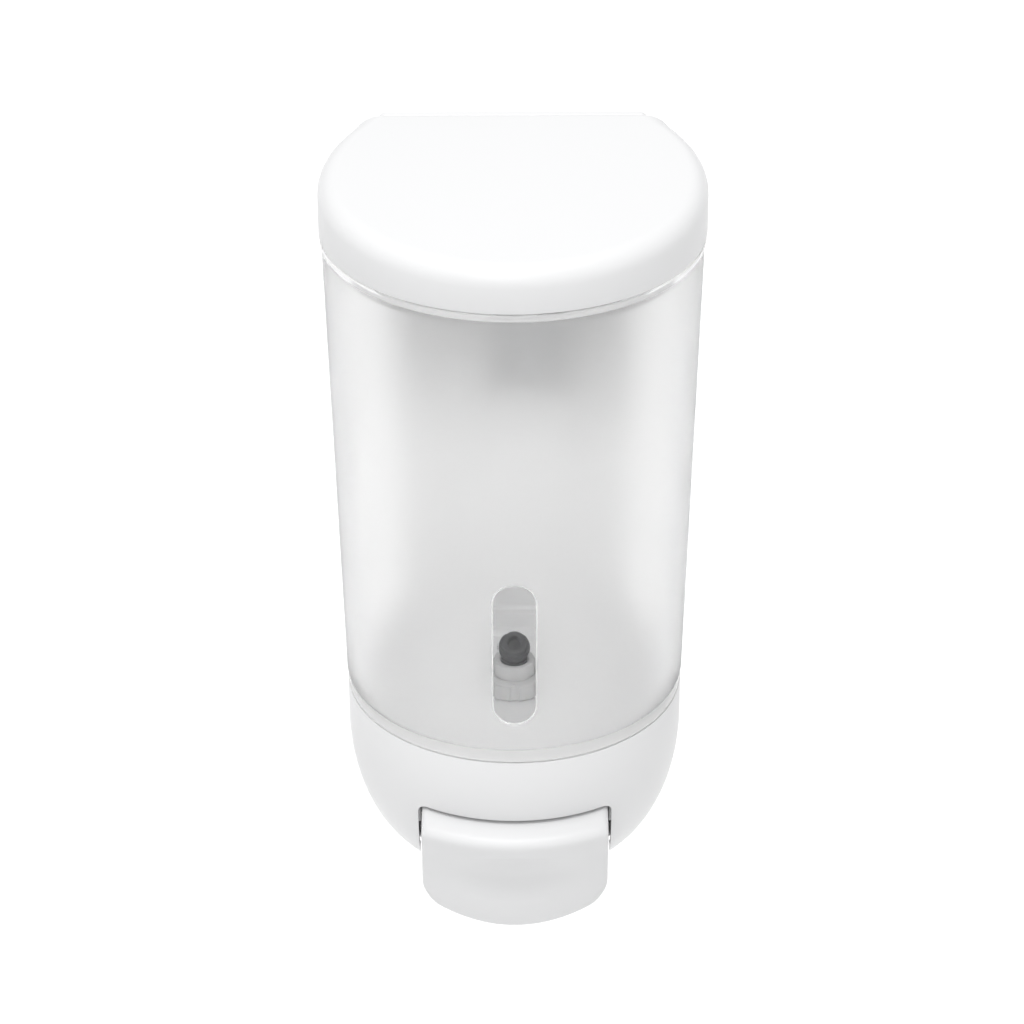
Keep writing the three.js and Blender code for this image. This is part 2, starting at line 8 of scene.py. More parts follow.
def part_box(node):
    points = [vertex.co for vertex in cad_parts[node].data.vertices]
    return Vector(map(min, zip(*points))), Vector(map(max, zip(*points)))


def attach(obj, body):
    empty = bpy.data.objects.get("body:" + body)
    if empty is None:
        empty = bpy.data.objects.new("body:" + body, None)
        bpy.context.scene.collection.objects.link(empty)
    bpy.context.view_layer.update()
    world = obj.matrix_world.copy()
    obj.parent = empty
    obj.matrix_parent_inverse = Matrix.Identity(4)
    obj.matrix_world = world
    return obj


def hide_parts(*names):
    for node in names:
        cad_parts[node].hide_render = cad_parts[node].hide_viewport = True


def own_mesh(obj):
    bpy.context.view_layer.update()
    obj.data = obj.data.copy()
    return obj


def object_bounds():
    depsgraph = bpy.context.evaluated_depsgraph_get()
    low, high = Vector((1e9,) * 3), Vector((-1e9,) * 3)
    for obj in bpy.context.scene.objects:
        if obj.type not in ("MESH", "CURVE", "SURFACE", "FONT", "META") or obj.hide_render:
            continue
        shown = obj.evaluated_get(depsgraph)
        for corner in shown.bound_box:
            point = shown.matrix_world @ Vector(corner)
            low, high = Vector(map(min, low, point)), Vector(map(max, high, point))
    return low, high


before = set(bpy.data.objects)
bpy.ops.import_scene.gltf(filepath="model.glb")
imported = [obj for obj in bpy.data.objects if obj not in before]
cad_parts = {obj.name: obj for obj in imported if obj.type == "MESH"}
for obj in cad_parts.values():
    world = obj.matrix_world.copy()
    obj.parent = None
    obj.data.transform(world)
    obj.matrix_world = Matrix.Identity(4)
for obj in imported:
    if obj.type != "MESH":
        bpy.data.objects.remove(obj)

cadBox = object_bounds()
mm = 0.001  # pieces are modelled in millimetres and brought to metres when they are finished
gap = 0.3  # clearance between touching pieces
hair = 0.01  # keeps two cuts from sharing a plane


def span(node):
    low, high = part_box(node)
    return Vector(low) / mm, Vector(high) / mm


lidLow, lidHigh = span("lid")
tankLow, tankHigh = span("tank")
baseLow, baseHigh = span("base_housing")
plateLow, plateHigh = span("wall_plate")
pumpLow, pumpHigh = span("pump_body")
planY = lidLow.y + lidHigh.x  # middle of the circle that lid, tank and base share
backY = lidHigh.y  # the flat back that they share
pumpY = (pumpLow.y + pumpHigh.y) / 2


# camera first

view = {"lens": 133.7, "distance": 1050, "elevation": 30.0, "roll": -0.19, "belowRim": 104.3, "aside": -0.5}


def makeCamera():
    data = bpy.data.cameras.new("camera")
    data.lens = view["lens"]
    data.sensor_width = 36
    data.clip_start = 0.05
    data.clip_end = 30
    camera = bpy.data.objects.new("camera", data)
    bpy.context.collection.objects.link(camera)
    tilt = math.radians(view["elevation"])
    aim = Vector((view["aside"], 0, lidLow.z - view["belowRim"]))
    away = Vector((0, -math.cos(tilt), math.sin(tilt)))
    turn = (-away).to_track_quat("-Z", "Y").to_matrix().to_4x4()
    roll = Matrix.Rotation(math.radians(view["roll"]), 4, "Z")
    camera.matrix_world = Matrix.Translation((aim + away * view["distance"]) * mm) @ turn @ roll
    bpy.context.scene.camera = camera


makeCamera()
print("camera set")


# shader groups shared by several materials

def addSocket(group, name, direction, kind, value=None):
    socket = group.interface.new_socket(name=name, in_out=direction, socket_type=kind)
    if value is not None:
        socket.default_value = value


def makeGrainGroup():  # moulded skin: a fine grain for bump and a broad mottle for colour and gloss
    group = bpy.data.node_groups.new("mouldedGrain", "ShaderNodeTree")
    addSocket(group, "Vector", "INPUT", "NodeSocketVector")
    addSocket(group, "Fine", "INPUT", "NodeSocketFloat", 1500.0)
    addSocket(group, "Broad", "INPUT", "NodeSocketFloat", 40.0)
    addSocket(group, "Height", "OUTPUT", "NodeSocketFloat")
    addSocket(group, "Mottle", "OUTPUT", "NodeSocketFloat")
    nodes, links = group.nodes, group.links
    start = nodes.new("NodeGroupInput")
    end = nodes.new("NodeGroupOutput")
    fine = nodes.new("ShaderNodeTexNoise")
    fine.inputs["Detail"].default_value = 3
    broad = nodes.new("ShaderNodeTexNoise")
    broad.inputs["Detail"].default_value = 4
    broad.inputs["Roughness"].default_value = 0.6
    links.new(start.outputs["Vector"], fine.inputs["Vector"])
    links.new(start.outputs["Vector"], broad.inputs["Vector"])
    links.new(start.outputs["Fine"], fine.inputs["Scale"])
    links.new(start.outputs["Broad"], broad.inputs["Scale"])
    links.new(fine.outputs["Fac"], end.inputs["Height"])
    links.new(broad.outputs["Fac"], end.inputs["Mottle"])
    return group


def makeDustGroup():  # soap film and lint: sparse specks, thicker on faces that look up
    group = bpy.data.node_groups.new("dustFilm", "ShaderNodeTree")
    addSocket(group, "Vector", "INPUT", "NodeSocketVector")
    addSocket(group, "Scale", "INPUT", "NodeSocketFloat", 300.0)
    addSocket(group, "Amount", "INPUT", "NodeSocketFloat", 0.3)
    addSocket(group, "Mask", "OUTPUT", "NodeSocketFloat")
    nodes, links = group.nodes, group.links
    start = nodes.new("NodeGroupInput")
    end = nodes.new("NodeGroupOutput")
    specks = nodes.new("ShaderNodeTexNoise")
    specks.inputs["Detail"].default_value = 5
    facing = nodes.new("ShaderNodeNewGeometry")
    split = nodes.new("ShaderNodeSeparateXYZ")
    upward = nodes.new("ShaderNodeMapRange")
    upward.inputs["From Min"].default_value = -0.2
    thin = nodes.new("ShaderNodeMapRange")
    thin.inputs["From Min"].default_value = 0.5
    thin.inputs["From Max"].default_value = 0.8
    both = nodes.new("ShaderNodeMath")
    both.operation = "MULTIPLY"
    scaled = nodes.new("ShaderNodeMath")
    scaled.operation = "MULTIPLY"
    links.new(start.outputs["Vector"], specks.inputs["Vector"])
    links.new(start.outputs["Scale"], specks.inputs["Scale"])
    links.new(specks.outputs["Fac"], thin.inputs["Value"])
    links.new(facing.outputs["Normal"], split.inputs["Vector"])
    links.new(split.outputs["Z"], upward.inputs["Value"])
    links.new(thin.outputs["Result"], both.inputs[0])
    links.new(upward.outputs["Result"], both.inputs[1])
    links.new(both.outputs["Value"], scaled.inputs[0])
    links.new(start.outputs["Amount"], scaled.inputs[1])
    links.new(scaled.outputs["Value"], end.inputs["Mask"])
    return group


grainGroup = makeGrainGroup()
dustGroup = makeDustGroup()


def newFinish(name):
    finish = bpy.data.materials.new(name)
    finish.use_nodes = True
    nodes, links = finish.node_tree.nodes, finish.node_tree.links
    return finish, nodes, links, nodes["Principled BSDF"]


def placedVector(nodes, links, stretch=(1, 1, 1)):
    place = nodes.new("ShaderNodeTexCoord")
    mapping = nodes.new("ShaderNodeMapping")
    mapping.inputs["Scale"].default_value = stretch
    links.new(place.outputs["Object"], mapping.inputs["Vector"])
    return mapping.outputs["Vector"]


def placedGrain(nodes, links, vector, fine, broad):
    grain = nodes.new("ShaderNodeGroup")
    grain.node_tree = grainGroup
    grain.inputs["Fine"].default_value = fine
    grain.inputs["Broad"].default_value = broad
    links.new(vector, grain.inputs["Vector"])
    return grain


def placedDust(nodes, links, vector, scale, amount):
    dust = nodes.new("ShaderNodeGroup")
    dust.node_tree = dustGroup
    dust.inputs["Scale"].default_value = scale
    dust.inputs["Amount"].default_value = amount
    links.new(vector, dust.inputs["Vector"])
    return dust.outputs["Mask"]


def blendColours(nodes, links, mask, first, second):
    mix = nodes.new("ShaderNodeMix")
    mix.data_type = "RGBA"
    for socket, colour in ((mix.inputs[6], first), (mix.inputs[7], second)):
        if isinstance(colour, tuple):
            socket.default_value = (*colour, 1)
        else:
            links.new(colour, socket)
    links.new(mask, mix.inputs[0])
    return mix.outputs[2]


def spread(nodes, links, mask, low, high):
    ranged = nodes.new("ShaderNodeMapRange")
    ranged.inputs["From Min"].default_value = 0.3
    ranged.inputs["From Max"].default_value = 0.7
    ranged.inputs["To Min"].default_value = low
    ranged.inputs["To Max"].default_value = high
    links.new(mask, ranged.inputs["Value"])
    return ranged.outputs["Result"]


def bumped(nodes, links, height, strength, distance):
    bump = nodes.new("ShaderNodeBump")
    bump.inputs["Strength"].default_value = strength
    bump.inputs["Distance"].default_value = distance
    links.new(height, bump.inputs["Height"])
    return bump.outputs["Normal"]


moulding = {"dustScale": 700, "dustColour": (0.62, 0.61, 0.58), "grainDepth": 0.00004,
            "bend": 1.5, "shine": 0.25}
clearGrainDepth = 0.00003
metalwork = {"grainDepth": 0.00003, "broad": 120, "bump": 0.2}


def mouldedPlastic(name, look):
    finish, nodes, links, shader = newFinish(name)
    vector = placedVector(nodes, links)
    grain = placedGrain(nodes, links, vector, look["fine"], look["broad"])
    dust = placedDust(nodes, links, vector, moulding["dustScale"], look["dust"])
    skin = blendColours(nodes, links, grain.outputs["Mottle"], look["colour"], look["shade"])
    links.new(blendColours(nodes, links, dust, skin, moulding["dustColour"]), shader.inputs["Base Color"])
    links.new(spread(nodes, links, grain.outputs["Mottle"], *look["rough"]), shader.inputs["Roughness"])
    grained = bumped(nodes, links, grain.outputs["Height"], look["bump"], moulding["grainDepth"])
    links.new(grained, shader.inputs["Normal"])
    shader.inputs["IOR"].default_value = moulding["bend"]
    shader.inputs["Specular IOR Level"].default_value = moulding["shine"]
    return finish


def heightMask(nodes, links, start, end):  # 0 below start, 1 above end
    split = nodes.new("ShaderNodeSeparateXYZ")
    ranged = nodes.new("ShaderNodeMapRange")
    ranged.interpolation_type = "SMOOTHSTEP"
    ranged.inputs["From Min"].default_value = start
    ranged.inputs["From Max"].default_value = end
    links.new(placedVector(nodes, links), split.inputs["Vector"])
    links.new(split.outputs["Z"], ranged.inputs["Value"])
    return ranged.outputs["Result"]


def clearPlastic(name, look):  # the optional painted shade darkens the colour towards the top, standing in for the shade the lid casts
    finish, nodes, links, shader = newFinish(name)
    grain = placedGrain(nodes, links, placedVector(nodes, links), look["fine"], look["broad"])
    tint = blendColours(nodes, links, grain.outputs["Mottle"], look["colour"], look["shade"])
    if "paintedShade" in look:
        height = heightMask(nodes, links, look["dimFrom"], look["dimTo"])
        tint = blendColours(nodes, links, height, tint, look["paintedShade"])
    links.new(tint, shader.inputs["Base Color"])
    links.new(spread(nodes, links, grain.outputs["Mottle"], *look["rough"]), shader.inputs["Roughness"])
    grained = bumped(nodes, links, grain.outputs["Height"], look["bump"], clearGrainDepth)
    links.new(grained, shader.inputs["Normal"])
    shader.inputs["Transmission Weight"].default_value = look["through"]
    shader.inputs["IOR"].default_value = look["bend"]
    return finish


def metal(name, look):
    finish, nodes, links, shader = newFinish(name)
    vector = placedVector(nodes, links, look["stretch"])
    grain = placedGrain(nodes, links, vector, look["fine"], metalwork["broad"])
    tint = blendColours(nodes, links, grain.outputs["Mottle"], look["colour"], look["shade"])
    links.new(tint, shader.inputs["Base Color"])
    links.new(spread(nodes, links, grain.outputs["Height"], *look["rough"]), shader.inputs["Roughness"])
    grained = bumped(nodes, links, grain.outputs["Height"], metalwork["bump"], metalwork["grainDepth"])
    links.new(grained, shader.inputs["Normal"])
    shader.inputs["Metallic"].default_value = 1
    return finish


floorPaint = mouldedPlastic("floorPaint", {
    "colour": (0.84, 0.84, 0.84), "shade": (0.83, 0.83, 0.83), "rough": (0.8, 0.95), "fine": 60, "broad": 4,
    "bump": 0.05, "dust": 0.0})
glossWhite = mouldedPlastic("glossWhite", {
    "colour": (0.665, 0.666, 0.669), "shade": (0.652, 0.654, 0.658), "rough": (0.285, 0.36), "fine": 1400,
    "broad": 30, "bump": 0.12, "dust": 0.008})
# painted shade: a darker copy of the moulded white, standing in for the shade the bowl casts on the button
buttonShadedWhite = mouldedPlastic("buttonShadedWhite", {
    "colour": (0.628, 0.629, 0.633), "shade": (0.615, 0.617, 0.621), "rough": (0.3, 0.38), "fine": 1400,
    "broad": 34, "bump": 0.12, "dust": 0.008})
plateWhite = mouldedPlastic("plateWhite", {
    "colour": (0.665, 0.666, 0.669), "shade": (0.65, 0.651, 0.655), "rough": (0.42, 0.52), "fine": 900,
    "broad": 25, "bump": 0.3, "dust": 0.03})
pumpWhite = mouldedPlastic("pumpWhite", {
    "colour": (0.78, 0.79, 0.8), "shade": (0.74, 0.75, 0.76), "rough": (0.35, 0.45), "fine": 1200,
    "broad": 60, "bump": 0.15, "dust": 0.1})
greyRubber = mouldedPlastic("greyRubber", {
    "colour": (0.08, 0.082, 0.086), "shade": (0.1, 0.102, 0.107), "rough": (0.5, 0.65), "fine": 1800,
    "broad": 120, "bump": 0.35, "dust": 0.1})
frosted = clearPlastic("frostedPlastic", {
    "colour": (1, 1, 1), "shade": (0.985, 0.985, 0.985), "rough": (0.5, 0.6), "fine": 2600,
    "broad": 60, "bump": 0.25, "through": 0.73, "bend": 1.18})
polished = clearPlastic("polishedPlastic", {
    "colour": (0.995, 0.995, 0.995), "shade": (0.985, 0.985, 0.985), "rough": (0.02, 0.06), "fine": 1400,
    "broad": 60, "bump": 0.04, "through": 0.97, "bend": 1.18})
bandPlastic = clearPlastic("bandPlastic", {
    "colour": (0.98, 0.98, 0.98), "shade": (0.965, 0.965, 0.965), "rough": (0.05, 0.1), "fine": 1400,
    "broad": 60, "bump": 0.05, "through": 0.5, "bend": 1.18})
innerSkin = clearPlastic("innerSkin", {
    "colour": (0.995, 0.995, 0.995), "shade": (0.985, 0.985, 0.985), "rough": (0.04, 0.1), "fine": 1400,
    "broad": 60, "bump": 0.05, "through": 1, "bend": 1.18})
floorPlastic = clearPlastic("floorPlastic", {
    "colour": (0.97, 0.97, 0.97), "shade": (0.95, 0.95, 0.95), "rough": (0.5, 0.6), "fine": 2600,
    "broad": 50, "bump": 0.25, "through": 0.1, "bend": 1.3})
# painted shade: this back wall's colour darkens towards the top, standing in for the shade under the lid
backPlastic = clearPlastic("backPlastic", {
    "colour": (0.97, 0.97, 0.97), "shade": (0.95, 0.95, 0.95), "rough": (0.5, 0.6), "fine": 2600,
    "broad": 50, "bump": 0.25, "through": 0.1, "bend": 1.3,
    "paintedShade": (0.42, 0.42, 0.42), "dimFrom": -0.01, "dimTo": 0.042})
clearStyrene = clearPlastic("clearStyrene", {
    "colour": (1, 1, 1), "shade": (0.99, 0.99, 0.99), "rough": (0.03, 0.08), "fine": 1400,
    "broad": 60, "bump": 0.05, "through": 0.35, "bend": 1.2})
nutPlastic = clearPlastic("nutPlastic", {
    "colour": (0.995, 0.995, 0.995), "shade": (0.985, 0.985, 0.985), "rough": (0.03, 0.08), "fine": 1400,
    "broad": 60, "bump": 0.05, "through": 0.45, "bend": 1.15})
drawnSteel = metal("drawnSteel", {
    "colour": (0.56, 0.57, 0.58), "shade": (0.48, 0.49, 0.5), "rough": (0.29, 0.42), "fine": 500,
    "stretch": (0.1, 1, 1)})
# steel hook, partly painted shade: its colour is darkened below bare steel to stand in for the shade seen
# through the tank's back wall
pressedSteel = metal("pressedSteel", {
    "colour": (0.2, 0.205, 0.21), "shade": (0.16, 0.165, 0.17), "rough": (0.3, 0.5), "fine": 500,
    "stretch": (1, 1, 0.06)})
zincScrew = metal("zincScrew", {
    "colour": (0.62, 0.62, 0.6), "shade": (0.5, 0.5, 0.5), "rough": (0.29, 0.44), "fine": 900,
    "stretch": (1, 1, 1)})


# studio: pale floor below the hanging object, soft light from all round and from above

studio = {"floorDrop": 0.22, "floorSize": 14, "sky": 0.545, "skyTint": (0.997, 0.998, 1)}
suns = {
    "overhead": {"strength": 2.48, "spread": 40, "turn": (8, -4, 0)},
    "front": {"strength": 0.74, "spread": 30, "turn": (50, 0, -7)},
}
softboxes = {
    "key": {"at": (-0.9, -1.1, 1.1), "size": (0.9, 0.9), "watts": 1},
    "fill": {"at": (1.2, -0.9, 0.5), "size": (0.8, 1.2), "watts": 0.4},
}


def aimedLamp(name, light, at):
    lamp = bpy.data.objects.new(name, light)
    lamp.location = at
    lamp.rotation_euler = (-Vector(at)).to_track_quat("-Z", "Y").to_euler()
    bpy.context.collection.objects.link(lamp)


def makeStudio():
    scene = bpy.context.scene
    scene.view_settings.view_transform = "Standard"
    world = bpy.data.worlds.new("studio")
    world.use_nodes = True
    sky = world.node_tree.nodes["Background"]
    sky.inputs["Color"].default_value = (*studio["skyTint"], 1)
    sky.inputs["Strength"].default_value = studio["sky"]
    scene.world = world

    bm = bmesh.new()
    bmesh.ops.create_grid(bm, x_segments=1, y_segments=1, size=studio["floorSize"] / 2)
    bmesh.ops.translate(bm, vec=(0, 0, cadBox[0][2] - studio["floorDrop"]), verts=bm.verts)
    mesh = bpy.data.meshes.new("floor")
    bm.to_mesh(mesh)
    bm.free()
    floor = bpy.data.objects.new("floor", mesh)
    bpy.context.collection.objects.link(floor)
    mesh.materials.append(floorPaint)

    for name, sun in suns.items():
        light = bpy.data.lights.new(name, "SUN")
        light.energy = sun["strength"]
        light.angle = math.radians(sun["spread"])
        lamp = bpy.data.objects.new(name, light)
        lamp.rotation_euler = [math.radians(angle) for angle in sun["turn"]]
        bpy.context.collection.objects.link(lamp)
    for name, box in softboxes.items():
        light = bpy.data.lights.new(name, "AREA")
        light.shape = "RECTANGLE"
        light.size, light.size_y = box["size"]
        light.energy = box["watts"]
        aimedLamp(name, light, box["at"])


makeStudio()
print("studio and materials ready")


# making, cutting and finishing pieces

def pieceFrom(bm, name, *finishes):
    mesh = bpy.data.meshes.new(name)
    bm.to_mesh(mesh)
    bm.free()
    for finish in finishes:
        mesh.materials.append(finish)
    piece = bpy.data.objects.new(name, mesh)
    bpy.context.collection.objects.link(piece)
    return piece


def combine(piece, other, how="DIFFERENCE"):  # other is a bmesh or a piece; it is used up
    if isinstance(other, bmesh.types.BMesh):
        other = pieceFrom(other, "cutter", *piece.data.materials)
    step = piece.modifiers.new("cut", "BOOLEAN")
    step.operation = how
    step.object = other
    step.solver = "EXACT"
    graph = bpy.context.evaluated_depsgraph_get()
    result = bpy.data.meshes.new_from_object(piece.evaluated_get(graph))
    piece.modifiers.clear()
    piece.data = result
    bpy.data.objects.remove(other, do_unlink=True)
    return piece


def finishPiece(piece, body, slot, *nodes, sharp=32):
    mesh = piece.data
    mesh.name = piece.name
    mesh.transform(Matrix.Scale(mm, 4))
    mesh.shade_smooth()
    mesh.set_sharp_from_angle(angle=math.radians(sharp))
    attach(piece, body)
    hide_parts(*nodes)
    return piece


def soften(bm, width, segments=3, angle=35, where=lambda edge: True):
    limit = math.radians(angle)
    edges = [e for e in bm.edges if len(e.link_faces) == 2 and e.calc_face_angle(0) > limit and where(e)]
    bmesh.ops.bevel(bm, geom=edges, offset=width, offset_type="OFFSET", segments=segments, profile=0.5,
                    affect="EDGES", clamp_overlap=True, material=-1)
    return bm


def edgesRounded(piece, width, segments=2, angle=35, where=lambda edge: True):
    bm = bmesh.new()
    bm.from_mesh(piece.data)
    bmesh.ops.remove_doubles(bm, verts=bm.verts, dist=0.001)
    soften(bm, width, segments, angle, where)
    bm.to_mesh(piece.data)
    bm.free()
    return piece


def block(low, high, round=0, material=0):
    bm = bmesh.new()
    size = [b - a for a, b in zip(low, high)]
    middle = [(a + b) / 2 for a, b in zip(low, high)]
    bmesh.ops.create_cube(bm, size=1)
    bmesh.ops.scale(bm, vec=size, verts=bm.verts)
    bmesh.ops.translate(bm, vec=middle, verts=bm.verts)
    if round:
        soften(bm, round)
    for face in bm.faces:
        face.material_index = material
    return bm


def rod(axis, start, end, at, radius, steps=48, round=0, material=0):
    bm = bmesh.new()
    start, end = sorted((start, end))
    bmesh.ops.create_cone(bm, cap_ends=True, segments=steps, radius1=radius, radius2=radius,
                          depth=end - start)
    turn = {"x": Matrix.Rotation(math.pi / 2, 4, "Y"), "y": Matrix.Rotation(-math.pi / 2, 4, "X"),
            "z": Matrix.Identity(4)}[axis]
    middle = (start + end) / 2
    place = {"x": (middle, *at), "y": (at[0], middle, at[1]), "z": (*at, middle)}[axis]
    bmesh.ops.transform(bm, matrix=Matrix.Translation(place) @ turn, verts=bm.verts)
    if round:
        soften(bm, round, 2)
    for face in bm.faces:
        face.material_index = material
    return bm


def turned(profile, at=None, steps=64, round=0.2):  # profile is [radius, z], closed or ending on the axis
    x, y = at or (0, pumpY)
    bm = bmesh.new()
    points = [bm.verts.new((x + r, y, z)) for r, z in profile]
    edges = [bm.edges.new(pair) for pair in zip(points, points[1:])]
    if profile[0][0] > 0:
        edges.append(bm.edges.new((points[-1], points[0])))
    bmesh.ops.spin(bm, geom=points + edges, cent=(x, y, 0), axis=(0, 0, 1), angle=2 * math.pi, steps=steps,
                   use_merge=True)
    bmesh.ops.remove_doubles(bm, verts=bm.verts, dist=0.001)
    bmesh.ops.recalc_face_normals(bm, faces=bm.faces)
    if round:
        soften(bm, round, 2)
    return bm


def laidAlongY(bm, x, z):  # a shape turned about z, laid with its top towards the wall
    bmesh.ops.rotate(bm, cent=(0, 0, 0), matrix=Matrix.Rotation(-math.pi / 2, 3, "X"), verts=bm.verts)
    bmesh.ops.translate(bm, vec=(x, 0, z), verts=bm.verts)
    return bm


def cornersCut(bm, size, steps, inPlace):  # rounds the front-to-back edges whose ends are in place
    edges = [e for e in bm.edges if all(inPlace(v.co.z) for v in e.verts)
             and abs(e.verts[0].co.y - e.verts[1].co.y) > 1]
    bmesh.ops.bevel(bm, geom=edges, offset=size, segments=steps, profile=0.5, affect="EDGES", material=-1)


# the shared plan shape: a circle cut flat at the back, with both back corners rounded

plan = {"corner": 6, "cornerSteps": 8, "arcSteps": 96, "backSteps": 8}


def planRing(bm, radius, z, back=None, corner=None, narrow=1.0):
    back = backY if back is None else back
    corner = plan["corner"] if corner is None else corner
    cornerY = back - corner
    cornerX = math.sqrt((radius - corner) ** 2 - (cornerY - planY) ** 2)
    turn = math.atan2(cornerX, cornerY - planY)
    count = len(bm.edges)
    first = bm.verts.new((cornerX, back, z))
    last = first
    for centre, angle, steps in (((cornerX, cornerY), turn, plan["cornerSteps"]),
                                 ((0, planY), 2 * (math.pi - turn), plan["arcSteps"]),
                                 ((-cornerX, cornerY), turn, plan["cornerSteps"])):
        swept = bmesh.ops.spin(bm, geom=[last], cent=(*centre, z), axis=(0, 0, -1), angle=angle, steps=steps)
        last = [v for v in swept["geom_last"] if isinstance(v, bmesh.types.BMVert)][0]
    closing = bm.edges.new((last, first))
    bmesh.ops.subdivide_edges(bm, edges=[closing], cuts=plan["backSteps"] - 1)
    bm.edges.ensure_lookup_table()
    ring = bm.edges[count:]
    for v in ringVerts(ring):  # front and sides draw in, the back stays in its plane
        v.co.x *= narrow
        if v.co.y < planY:
            v.co.y = planY + (v.co.y - planY) * narrow
    return ring


def ringVerts(ring):
    return {v for e in ring for v in e.verts}


def loft(bm, rings, materials=None, closed=False):  # walls between each ring and the next, then the end caps
    following = rings[1:] + rings[:1] if closed else rings[1:]
    for index, (lower, upper) in enumerate(zip(rings, following)):
        wall = bmesh.ops.bridge_loops(bm, edges=lower + upper)
        for face in wall["faces"]:
            face.material_index = materials[index] if materials else 0
    if not closed:
        for ring, index in ((rings[0], 0), (rings[-1], -1)):
            cap = bmesh.ops.edgeloop_fill(bm, edges=ring)["faces"][0]
            cap.material_index = materials[index] if materials else 0
    bmesh.ops.recalc_face_normals(bm, faces=bm.faces)
    return bm


def quarter(steps):
    return [math.pi / 2 * i / steps for i in range(steps + 1)]


# lid

lid = {"radius": lidHigh.x, "rimZ": lidLow.z, "topZ": lidLow.z + 15.34, "slope": 0.0725, "wall": 2.2,
       "round": 5, "backRound": 2, "roundSteps": 8, "lip": 0.4, "innerBackRound": 0.6, "skirtBackY": -9.5,
       "notchHalf": 22, "earInner": 22.3, "earOuter": 27}
hinge = {"y": -8.3, "z": lidLow.z + 12.4, "pinR": 1.1, "pinRound": 0.3, "holeR": 1.4, "knuckleR": 2.4,
         "lugHalf": 21.6, "slab": 2.2}


def lidTopAt(y):
    return lid["topZ"] + lid["slope"] * (y - planY)


def lidEdge(bm, inset, round, backRound):  # rings up the top edge, rounder at the front than at the back
    rings = []
    for angle in quarter(lid["roundSteps"]):
        side = inset + round * (1 - math.cos(angle))
        back = backY - inset - backRound * (1 - math.cos(angle))
        corner = max(plan["corner"] - side, 0.6)
        ring = planRing(bm, lid["radius"] - side, 0, back, corner)
        for v in ringVerts(ring):
            backness = min(max((v.co.y - back + corner) / corner, 0), 1)
            radius = round + (backRound - round) * backness
            v.co.z = lidTopAt(v.co.y) - inset - radius * (1 - math.sin(angle))
        rings.append(ring)
    return rings


def makeLid():
    bm = bmesh.new()
    r, rim, lip, wall = lid["radius"], lid["rimZ"], lid["lip"], lid["wall"]
    outside = [planRing(bm, r - lip, rim), planRing(bm, r - 0.3 * lip, rim + 0.3 * lip),
               planRing(bm, r, rim + lip)]
    outside += lidEdge(bm, 0, lid["round"], lid["backRound"])
    inside = [planRing(bm, r - wall + lip, rim, backY - wall + lip, 4),
              planRing(bm, r - wall, rim + lip, backY - wall, plan["corner"] - wall)]
    inside += lidEdge(bm, wall, lid["round"] - wall, lid["innerBackRound"])
    piece = pieceFrom(loft(bm, outside[::-1] + inside), "lid_shell", glossWhite)

    backTop = lidTopAt(backY)
    half = lid["notchHalf"]
    combine(piece, block((-half, backY - wall - 0.5, rim - 2), (half, 1, backTop - wall - 0.6)))
    combine(piece, block((-60, lid["skirtBackY"], rim - 2), (60, 1, rim + 1)))
    y, z, r = hinge["y"], hinge["z"], hinge["knuckleR"]
    for side in (-1, 1):
        near, far = sorted((side * lid["earInner"], side * lid["earOuter"]))
        combine(piece, rod("x", near, far, (y, z), r), "UNION")
        combine(piece, block((near, y - r, z), (far, y + r, lid["topZ"] - 0.2)), "UNION")
    combine(piece, rod("x", -40, 40, (y, z), hinge["holeR"]))
    finishPiece(piece, "lid", "white_plastic", "lid")
    pinEnd = lid["earOuter"] - 0.5
    pin = rod("x", -pinEnd, pinEnd, (y, z), hinge["pinR"], round=hinge["pinRound"])
    finishPiece(pieceFrom(pin, "lid_pin", drawnSteel), "lid", "steel", "hinge_pin")


makeLid()
print("lid made")


# wall side: plate, hook and rivets

plate = {"corner": 5, "topCorner": 2, "edge": 0.6, "lip": 2.2, "lipHeight": 10, "holeZ": 66, "holeR": 2.5,
         "sink": [[0, -4.6], [5.2, -4.6], [2.4, -1.9], [0, -1.9]]}
hook = {"x": 5, "topZ": 42, "height": 24, "stemHalf": 6, "headHalf": 9, "stemFrontY": -7, "headFrontY": -9.2,
        "rivetR": 1.5, "edge": 0.4, "bend": 0.8}
rivetZ = {"hook_rivet_upper": hook["topZ"] - 6, "hook_rivet_lower": hook["topZ"] - hook["height"] + 6}


def makePlate():
    bm = block(plateLow, plateHigh)
    cornersCut(bm, plate["corner"], 8, lambda z: z < 0)
    cornersCut(bm, plate["topCorner"], 5, lambda z: z > plateHigh.z - 1)
    piece = pieceFrom(bm, "wall_plate_moulding", plateWhite)
    combine(piece, block((-60, plateLow.y - 1, plateHigh.z - plate["lipHeight"]), (60, -plate["lip"], 120)))
    edgesRounded(piece, plate["edge"], 3, where=lambda e: all(v.co.y < -0.1 for v in e.verts))
    for z in (plate["holeZ"], -plate["holeZ"]):
        combine(piece, rod("y", -10, 1, (0, z), plate["holeR"]))
        combine(piece, laidAlongY(turned(plate["sink"], (0, 0), 48, 0), 0, z))
    for z in rivetZ.values():
        combine(piece, rod("y", -10, 1, (hook["x"], z), hook["rivetR"] + gap))
    finishPiece(piece, "wall_side", "plate_white", "wall_plate")


